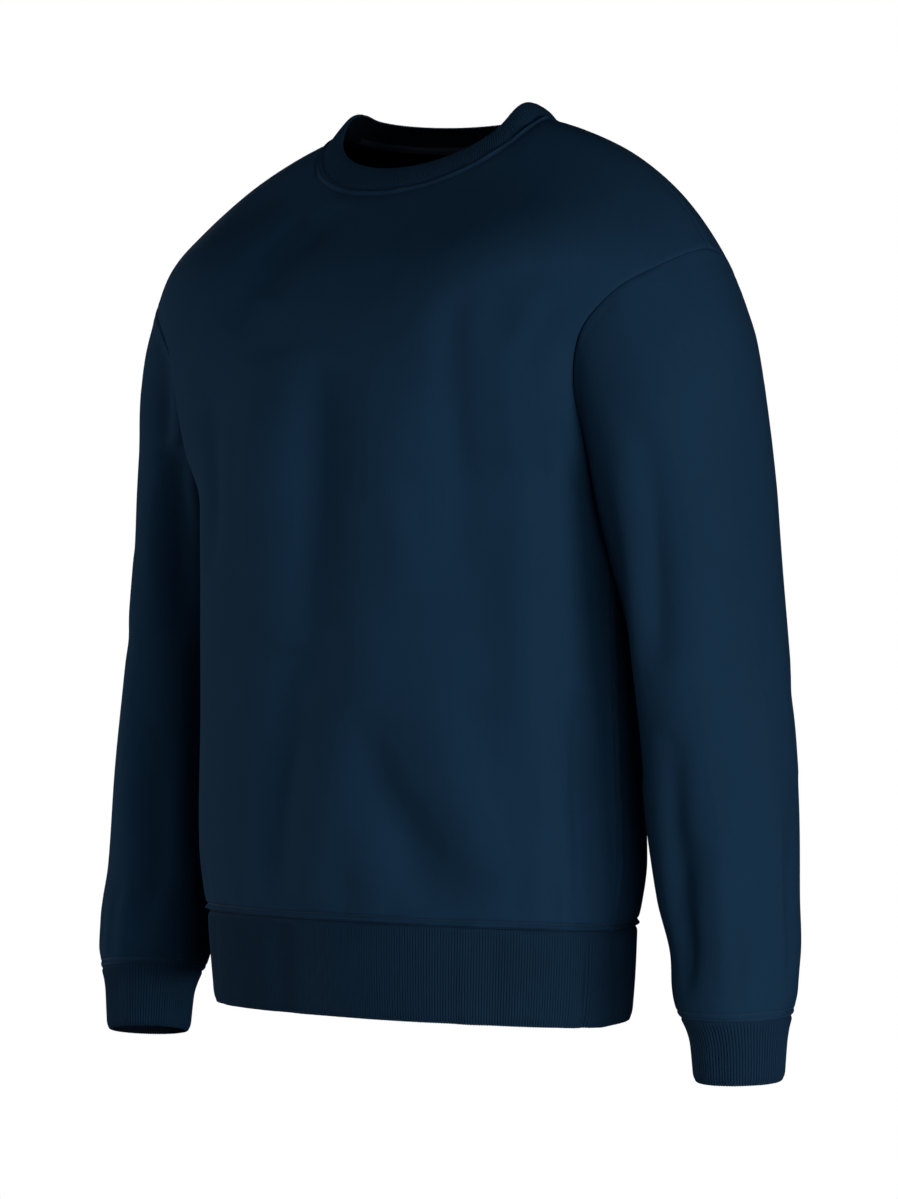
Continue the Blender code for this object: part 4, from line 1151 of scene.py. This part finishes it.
def grid_faces(rows, columns, close_rows, close_columns):
    """Row and column of each corner of a grid's faces, past the last one where it closes."""
    i, j = np.meshgrid(
        np.arange(rows if close_rows else rows - 1),
        np.arange(columns if close_columns else columns - 1),
        indexing="ij",
    )
    i, j = i.ravel(), j.ravel()
    return np.stack([i, i, i + 1, i + 1], 1), np.stack([j, j + 1, j + 1, j], 1)


def grid_lengths(grid, close_rows, close_columns):
    """Cloth coordinates of a grid in metres: across and down, with one more where it closes."""
    if close_columns:
        grid = np.concatenate([grid, grid[:, :1]], 1)
    if close_rows:
        grid = np.concatenate([grid, grid[:1]], 0)
    across = np.linalg.norm(np.diff(grid, axis=1), axis=2)
    across = np.concatenate([0 * across[:, :1], np.cumsum(across, 1)], 1)
    down = np.linalg.norm(np.diff(grid, axis=0), axis=2)
    down = np.concatenate([0 * down[:1], np.cumsum(down, 0)], 0)
    return across - across[:, across.shape[1] // 2, None], down


def add_object(name, data):
    """One object in the scene from a mesh, lamp or camera."""
    made = bpy.data.objects.new(name, data)
    bpy.context.scene.collection.objects.link(made)
    return made


def add_mesh(name, points, faces, corners_uv, materials, inside=None):
    """One object from points, faces and the cloth coordinates of each face's corners, facing out.

    Its faces marked as inside have its second material.
    """
    a, b, c, d = (points[faces[:, k]] for k in range(4))
    volume = (a * np.cross(b, c)).sum() + (a * np.cross(c, d)).sum()
    if volume < 0:
        faces, corners_uv = faces[:, ::-1], corners_uv[:, ::-1]
    mesh = bpy.data.meshes.new(name)
    mesh.from_pydata(points.tolist(), [], faces.tolist())
    layer = mesh.uv_layers.new(name="cloth")
    layer.data.foreach_set("uv", corners_uv.reshape(-1).astype(np.float32))
    mesh.shade_smooth()
    mesh.set_sharp_from_angle(angle=math.radians(SHARP_DEGREES))
    for material in materials:
        mesh.materials.append(material)
    if inside is not None:
        mesh.polygons.foreach_set("material_index", inside.astype(np.int32))
    return add_object(name, mesh)


def edge_paths(rows, columns, closed):
    """The edges of a grid as paths of rows and columns, all the same way round the cloth."""
    across, down = np.arange(columns), np.arange(1, rows)
    if closed:
        ahead = np.arange(columns + 1)
        return [(0 * ahead, ahead), (0 * ahead + rows - 1, ahead[::-1])]
    last_row, last_column = np.full(columns - 1, rows - 1), np.full(rows - 1, columns - 1)
    i = np.concatenate([0 * across, down, last_row, down[::-1] - 1])
    j = np.concatenate([across, last_column, across[-2::-1], 0 * down])
    return [(i, j)]


def cloth_shell(name, outer, inner, closed, materials):
    """A thin wall between two grids, which may close on themselves sideways."""
    rows, columns = outer.shape[:2]
    size = rows * columns
    r, c = grid_faces(rows, columns, False, closed)
    across, down = grid_lengths(outer, False, closed)
    index = r * columns + c % columns
    uv = np.stack([across[r, c], down[r, c]], -1)
    faces = [index, index[:, ::-1] + size]
    corners = [uv, uv[:, ::-1]]
    for i, j in edge_paths(rows, columns, closed):
        index = i * columns + j % columns
        first, second = index[:-1], index[1:]
        faces.append(np.stack([first, first + size, second + size, second], 1))
        uv = np.stack([across[i, j], down[i, j]], -1)
        corners.append(np.stack([uv[:-1], uv[:-1], uv[1:], uv[1:]], 1))
    points = np.concatenate([outer.reshape(-1, 3), inner.reshape(-1, 3)])
    inside = np.concatenate([np.full(len(run), k == 1) for k, run in enumerate(faces)])
    return add_mesh(name, points, np.concatenate(faces), np.concatenate(corners), materials, inside)


def band_shell(name, rows, materials):
    """A folded band, whose surface closes on itself both ways. Its ribs are a whole pitch apart."""
    count, columns = rows.shape[:2]
    r, c = grid_faces(count, columns, True, True)
    _, down = grid_lengths(rows, True, True)
    index = (r % count) * columns + c % columns
    uv = np.stack([c * RIB_PITCH / len(RIB_STEPS), down[r, c]], -1)
    inside = r[:, 0] > count // 2
    return add_mesh(name, rows.reshape(-1, 3), index, uv, materials, inside)


# Stitches


def grid_tree(grids, closed):
    """A search tree over the faces of some grids."""
    points, faces, start = [], [], 0
    for grid in grids:
        rows, columns = grid.shape[:2]
        r, c = grid_faces(rows, columns, False, closed)
        faces.append(start + r * columns + c % columns)
        points.append(grid.reshape(-1, 3))
        start += rows * columns
    return BVHTree.FromPolygons(
        np.concatenate(points).tolist(), np.concatenate(faces).tolist(), all_triangles=False
    )


def laid_on(tree, points, away_from):
    """The nearest places on a surface to some points, and its normals there, away from a middle."""
    found = [tree.find_nearest(place) for place in points]
    places = np.array([hit[0] for hit in found])
    normals = np.array([hit[1] for hit in found])
    return places, normals * np.where(dot(normals, places - away_from) < 0, -1.0, 1.0)


def stitch_row(name, places, normals, material):
    """A closed row of short raised stitches along a line on the cloth."""
    closed, turned = closed_ring(places), closed_ring(normals)
    length = lengths(closed)
    count = round(length[-1] / STITCH_PITCH)
    at = (np.arange(count) + 0.5) / count * length[-1]
    middle, normal = read_line(closed, length, at), unit(read_line(turned, length, at))
    ahead = read_line(closed, length, np.minimum(at + STITCH_AIM, length[-1]))
    ahead = unit(ahead - read_line(closed, length, at - STITCH_AIM))
    side = unit(np.cross(ahead, normal))
    place, size, height = np.array(STITCH_RINGS).T[:, :, None]
    turn = np.arange(STITCH_SIDES) * 2 * math.pi / STITCH_SIDES
    points = (
        middle[:, None, None]
        + ahead[:, None, None] * (place * STITCH_LENGTH)[..., None]
        + normal[:, None, None] * (height + size * np.cos(turn))[..., None] * STITCH_RADIUS
        + side[:, None, None] * (size * np.sin(turn))[..., None] * STITCH_RADIUS
    )
    r, c = grid_faces(len(STITCH_RINGS), STITCH_SIDES, False, True)
    one = r * STITCH_SIDES + c % STITCH_SIDES
    start = np.arange(count)[:, None, None] * len(STITCH_RINGS) * STITCH_SIDES
    uv = np.stack([c / STITCH_SIDES, r / len(STITCH_RINGS)], -1) * STITCH_LENGTH
    corners = np.tile(uv, (count, 1, 1))
    return add_mesh(name, points.reshape(-1, 3), (start + one).reshape(-1, 4), corners, [material])


def neck_stitch_line(distance):
    """A line round the neck at a distance from the band's seam."""
    u = neck_columns(301)
    seam = neck_line(301)
    normal = all_round(*(body_frame(u, neck_v(u, front))[2] for front in (True, False)))
    tangent = unit(np.roll(seam, -2, 0) - np.roll(seam, 2, 0))
    away = unit(np.cross(tangent, normal))
    away *= np.where(dot(away, level_normal(seam)) < 0, -1.0, 1.0)
    return seam + away * distance


# Materials


def add_node(tree, kind, inputs=(), **settings):
    """A node with its settings, and its inputs linked or given a value."""
    made = tree.nodes.new(kind)
    for key, value in settings.items():
        setattr(made, key, value)
    for key, value in dict(inputs).items():
        if isinstance(value, bpy.types.NodeSocket):
            tree.links.new(value, made.inputs[key])
        else:
            made.inputs[key].default_value = value
    return made


def calc(tree, operation, *values):
    """The output of one sum."""
    sum_node = add_node(tree, "ShaderNodeMath", dict(enumerate(values)), operation=operation)
    return sum_node.outputs["Value"]


def weighted(tree, *parts):
    """The sum of some values, each times its share."""
    total = None
    for value, share in parts:
        part = calc(tree, "MULTIPLY", value, share)
        total = part if total is None else calc(tree, "ADD", total, part)
    return total


def waves(tree, value, length):
    """Even waves from 0 to 1, with a length in metres."""
    turn = calc(tree, "MULTIPLY", value, 2 * math.pi / length)
    return calc(tree, "MULTIPLY_ADD", calc(tree, "SINE", turn), 0.5, 0.5)


def cloth_shader(look):
    """A material of matt cotton: its tree, and its cloth coordinates in metres, together and apart."""
    material = bpy.data.materials.new(look.name)
    material.use_nodes = True
    tree = material.node_tree
    surface = tree.nodes["Principled BSDF"]
    surface.inputs["Roughness"].default_value = look.roughness
    surface.inputs["Sheen Weight"].default_value = look.sheen
    surface.inputs["Sheen Roughness"].default_value = SHEEN_ROUGHNESS
    surface.inputs["Sheen Tint"].default_value = SHEEN_TINT
    surface.inputs["Specular IOR Level"].default_value = look.specular
    place = add_node(tree, "ShaderNodeUVMap", uv_map="cloth").outputs["UV"]
    split = add_node(tree, "ShaderNodeSeparateXYZ", {"Vector": place})
    return material, tree, place, split.outputs["X"], split.outputs["Y"]


def finish_cloth(look, material, tone, height):
    """Gives a cloth its colour, by its tone, and the raised face of its knit or weave."""
    tree = material.node_tree
    surface = tree.nodes["Principled BSDF"]
    settings = {"Strength": look.strength, "Distance": look.height, "Height": height}
    bump = add_node(tree, "ShaderNodeBump", settings)
    tree.links.new(two_tone(tree, tone, look.dark, look.light), surface.inputs["Base Color"])
    tree.links.new(bump.outputs["Normal"], surface.inputs["Normal"])
    return material


def speckle(tree, place, noise):
    """A noise's value from 0 to 1."""
    settings = {"Vector": place, "Scale": noise.scale, "Detail": noise.detail}
    settings["Roughness"] = noise.roughness
    return add_node(tree, "ShaderNodeTexNoise", settings).outputs["Fac"]


def jersey(tree, across, down, wales, courses):
    """The height, from 0 to 1, of plain knit: columns of slanting legs that meet in a V."""
    column = calc(tree, "FRACT", calc(tree, "MULTIPLY", across, wales))
    off = calc(tree, "ABSOLUTE", calc(tree, "SUBTRACT", column, 0.5))
    rows = calc(tree, "MULTIPLY", down, courses)
    slanted = calc(tree, "MULTIPLY", calc(tree, "ADD", rows, off), 2 * math.pi)
    legs = calc(tree, "MULTIPLY_ADD", calc(tree, "SINE", slanted), KNIT_SLANT, KNIT_LOW)
    round_leg = calc(tree, "SINE", calc(tree, "MULTIPLY", off, 2 * math.pi))
    return calc(tree, "MULTIPLY_ADD", round_leg, KNIT_ROUND, legs)


def two_tone(tree, share, dark, light):
    """A colour between two, by a share from 0 to 1."""
    mix = add_node(tree, "ShaderNodeMix", data_type="RGBA")
    tree.links.new(share, mix.inputs[0])
    mix.inputs[6].default_value = (*dark, 1.0)
    mix.inputs[7].default_value = (*light, 1.0)
    return mix.outputs[2]


def wale_streaks(tree, place, across):
    """Faint streaks along the wales of the fleece."""
    settings = {"Vector": place, "Scale": STREAK_SCALE}
    stretched = add_node(tree, "ShaderNodeMapping", settings)
    return speckle(tree, stretched.outputs["Vector"], STREAKS)


def rib_painted_shade(tree, place, across):
    """Painted shade: lighter on the ribs and darker between them."""
    turn = calc(tree, "MULTIPLY", across, 2 * math.pi / RIB_PITCH)
    ridge = calc(tree, "MULTIPLY_ADD", calc(tree, "COSINE", turn), 0.5, 0.5)
    return calc(tree, "SQRT", ridge)


def knit_material(row, streaks_and_rib_shade):
    """Navy knit: the V's of its stitches under a slight nap, with stripes and faint clouds.

    The stripes are streaks on the fleece and painted shade between the ribs on the rib knit, and the
    tone is darker in the stitches' grooves as painted shade.
    """
    material, tree, place, across, down = cloth_shader(row.look)
    knit = jersey(tree, across, down, row.wales, row.courses)
    nap = speckle(tree, place, row.nap)
    # On the rib knit the stripes are painted shade between the ribs.
    parts = streaks_and_rib_shade(tree, place, across), speckle(tree, place, row.cloud), nap, knit
    # The stitches' part of the tone darkens their grooves: painted shade.
    tone = weighted(tree, *zip(parts, row.shares))
    height = calc(tree, "ADD", knit, calc(tree, "MULTIPLY", nap, NAP_HEIGHT))
    return finish_cloth(row.look, material, tone, height)


def painted_shade_inside_material(look):
    """The fuzzy inside of the cloth, painted dark as shade."""
    material, tree, place, _, _ = cloth_shader(look)
    fuzz = speckle(tree, place, INSIDE_FUZZ)
    return finish_cloth(look, material, fuzz, fuzz)


def tape_material():
    """Narrow navy cotton tape in a herringbone weave."""
    material, tree, place, across, down = cloth_shader(TAPE_LOOK)
    turned_back = calc(tree, "PINGPONG", down, TAPE_WIDTH / 4)
    height = waves(tree, calc(tree, "ADD", turned_back, across), TWILL_PITCH)
    # The tone follows the weave's height, as painted shade in its grooves, mixed with the nap.
    tone = weighted(tree, *zip((height, speckle(tree, place, TAPE_NAP)), TAPE_SHARES))
    return finish_cloth(TAPE_LOOK, material, tone, height)


def thread_material():
    """Twisted navy polyester thread, a little smoother than the cloth."""
    material, tree, _, across, down = cloth_shader(THREAD_LOOK)
    height = waves(tree, calc(tree, "ADD", across, down), STRAND_PITCH)
    # The tone follows the strands' height, as painted shade between them.
    return finish_cloth(THREAD_LOOK, material, height, height)


# Floor, light and camera


def pale_shades(tree, shade):
    """White where the camera sees it directly, and another grey where it lights the cloth."""
    seen = add_node(tree, "ShaderNodeLightPath").outputs["Is Camera Ray"]
    return two_tone(tree, seen, (shade,) * 3, (1.0,) * 3)


def add_floor():
    """A plain pale floor, well below the hem because the sweatshirt is shown at a wearer's height."""
    half = FLOOR_SIZE / 2
    mesh = bpy.data.meshes.new("floor")
    corners = [(-half, -half), (half, -half), (half, half), (-half, half)]
    mesh.from_pydata([(x, y, FLOOR_HEIGHT) for x, y in corners], [], [(0, 1, 2, 3)])
    material = bpy.data.materials.new("pale_floor")
    material.use_nodes = True
    tree = material.node_tree
    tree.nodes.clear()
    glow = add_node(tree, "ShaderNodeEmission", {"Color": pale_shades(tree, FLOOR_GLOW)})
    out = add_node(tree, "ShaderNodeOutputMaterial")
    tree.links.new(glow.outputs[0], out.inputs["Surface"])
    mesh.materials.append(material)
    floor = add_object("floor", mesh)


def add_world():
    """White behind the sweatshirt, and a dim even light on it."""
    world = bpy.data.worlds.new("studio")
    world.use_nodes = True
    tree = world.node_tree
    background = tree.nodes["Background"]
    tree.links.new(pale_shades(tree, WORLD_GLOW), background.inputs["Color"])
    bpy.context.scene.world = world


def aim(made, azimuth, elevation, distance, y, z):
    """Sets a lamp or camera at a distance from a place on the middle plane, looking at it."""
    azimuth, elevation = math.radians(azimuth), math.radians(elevation)
    level = math.cos(elevation) * distance
    made.location = (
        math.sin(azimuth) * level,
        y - math.cos(azimuth) * level,
        z + math.sin(elevation) * distance,
    )
    made.rotation_euler = (math.pi / 2 - elevation, 0.0, azimuth)


def add_light(row):
    """A soft square lamp aimed at the middle of the sweatshirt."""
    lamp = bpy.data.lights.new(row.name, "AREA")
    lamp.shape = "SQUARE"
    lamp.size = row.size
    lamp.energy = row.watts
    made = add_object(row.name, lamp)
    aim(made, row.azimuth, row.elevation, row.distance, LOOK_AT_Y, LOOK_AT_Z)


def add_camera():
    """The photograph's view: level, from the wearer's front left, with a long lens."""
    data = bpy.data.cameras.new("camera")
    data.lens = CAMERA_LENS
    camera = add_object("camera", data)
    aim(camera, CAMERA_AZIMUTH, 0.0, CAMERA_DISTANCE, 0.0, CAMERA_HEIGHT)
    bpy.context.scene.camera = camera


# The whole sweatshirt


def sleeve_and_cuff(arm, creases, cuff_folds, seed):
    """A sleeve's outer and inner points, and its cuff's rows, on the arm's own side."""
    height = abs(arm.cuff_end - CUFF_SEAM)
    outer, inner = sleeve_surface(arm, creases, seed)
    grid = cuff_grid(band_rows()[:, None], CUFF_RIBS * len(RIB_STEPS), arm)
    cuff = rib_band(grid, height, CUFF_CURL, cuff_folds, CUFF_LENGTH, seed + 8, CUFF_LUMPS)
    if arm is RIGHT_ARM:
        outer, inner, cuff = mirrored(outer), mirrored(inner), mirrored(cuff)
    return (outer, inner), cuff


def add_pieces(front, back, sleeves, slots):
    """Every cloth piece, by the node that it replaces."""
    # The inner faces take the inside looks, which are painted shade.
    fleece = [slots["fleece"], painted_shade_inside_material(FLEECE_INSIDE_PAINTED_SHADE)]
    rib = [slots["rib_knit"], painted_shade_inside_material(RIB_INSIDE_PAINTED_SHADE)]
    grid = hem_grid(band_rows()[:, None], HEM_RIBS * len(RIB_STEPS))
    hem = rib_band(grid, HEM_HEIGHT, HEM_CURL, HEM_FOLDS, HEM_LENGTH, HEM_SEED, HEM_LUMPS)
    pieces = {
        "front_panel": cloth_shell("front_cloth", *front, False, fleece),
        "back_panel": cloth_shell("back_cloth", *back, False, fleece),
        "hem_rib": band_shell("hem_band", hem, rib),
        "neckband": band_shell("neck_band", neckband_surface(), rib),
        "neck_tape": cloth_shell("neck_tape_cloth", *tape_surface(), False, [slots["tape"]] * 2),
    }
    for side, (sleeve, cuff) in sleeves.items():
        pieces[f"{side}_sleeve"] = cloth_shell(f"{side}_sleeve_cloth", *sleeve, True, fleece)
        pieces[f"{side}_cuff"] = band_shell(f"{side}_cuff_band", cuff, rib)
    for node, piece in pieces.items():
        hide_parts(node)
    return pieces


def add_stitches(front, back, sleeves, thread):
    """The rows of stitches beside the neck, hem and cuff seams, by what they are sewn on."""
    body_tree = grid_tree([front[0], back[0]], False)
    middle = np.array([0.0, BODY_MIDDLE_Y, BODY_MIDDLE_Z])
    hem_middle = np.array([0.0, BODY_MIDDLE_Y, HEM_MIDDLE_Z])
    up = np.array([0.0, 0.0, 1.0])
    rows = {"front_panel": [], "left_sleeve": [], "right_sleeve": []}
    for number, distance in enumerate(NEEDLE_ROWS):
        line = laid_on(body_tree, neck_stitch_line(distance), middle)
        rows["front_panel"].append(stitch_row(f"neck_stitches_{number}", *line, thread))
        line = laid_on(body_tree, hem_line() + up * distance, hem_middle)
        rows["front_panel"].append(stitch_row(f"hem_stitches_{number}", *line, thread))
        for arm in (LEFT_ARM, RIGHT_ARM):
            tree = grid_tree([sleeves[arm.name][0][0]], True)
            seam = cuff_line(arm) if arm is LEFT_ARM else mirrored(cuff_line(arm))
            line = laid_on(tree, seam + up * distance, seam.mean(0))
            name = f"{arm.name}_cuff_stitches_{number}"
            rows[f"{arm.name}_sleeve"].append(stitch_row(name, *line, thread))
    return rows


def build_sweatshirt():
    """Every cloth piece and stitch row, on the body that carries it."""
    fleece, rib = knit_material(FLEECE, wale_streaks), knit_material(RIB, rib_painted_shade)
    slots = {"fleece": fleece, "rib_knit": rib, "tape": tape_material()}
    front, back = panel_surface(True), panel_surface(False)
    left, right = LEFT_DRAPES + LEFT_CREASES, RIGHT_DRAPES + RIGHT_CREASES
    sleeves = {
        "left": sleeve_and_cuff(LEFT_ARM, left, LEFT_CUFF_FOLDS, LEFT_SEED),
        "right": sleeve_and_cuff(RIGHT_ARM, right, RIGHT_CUFF_FOLDS, RIGHT_SEED),
    }
    pieces = add_pieces(front, back, sleeves, slots)
    stitches = add_stitches(front, back, sleeves, thread_material())
    for piece in list(pieces.values()) + sum(stitches.values(), []):
        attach(piece, "root")
    return pieces, stitches


def main():
    pieces, stitches = build_sweatshirt()
    add_floor()
    add_world()
    for row in LIGHTS:
        add_light(row)
    add_camera()
    bpy.context.scene.view_settings.view_transform = "Standard"


main()
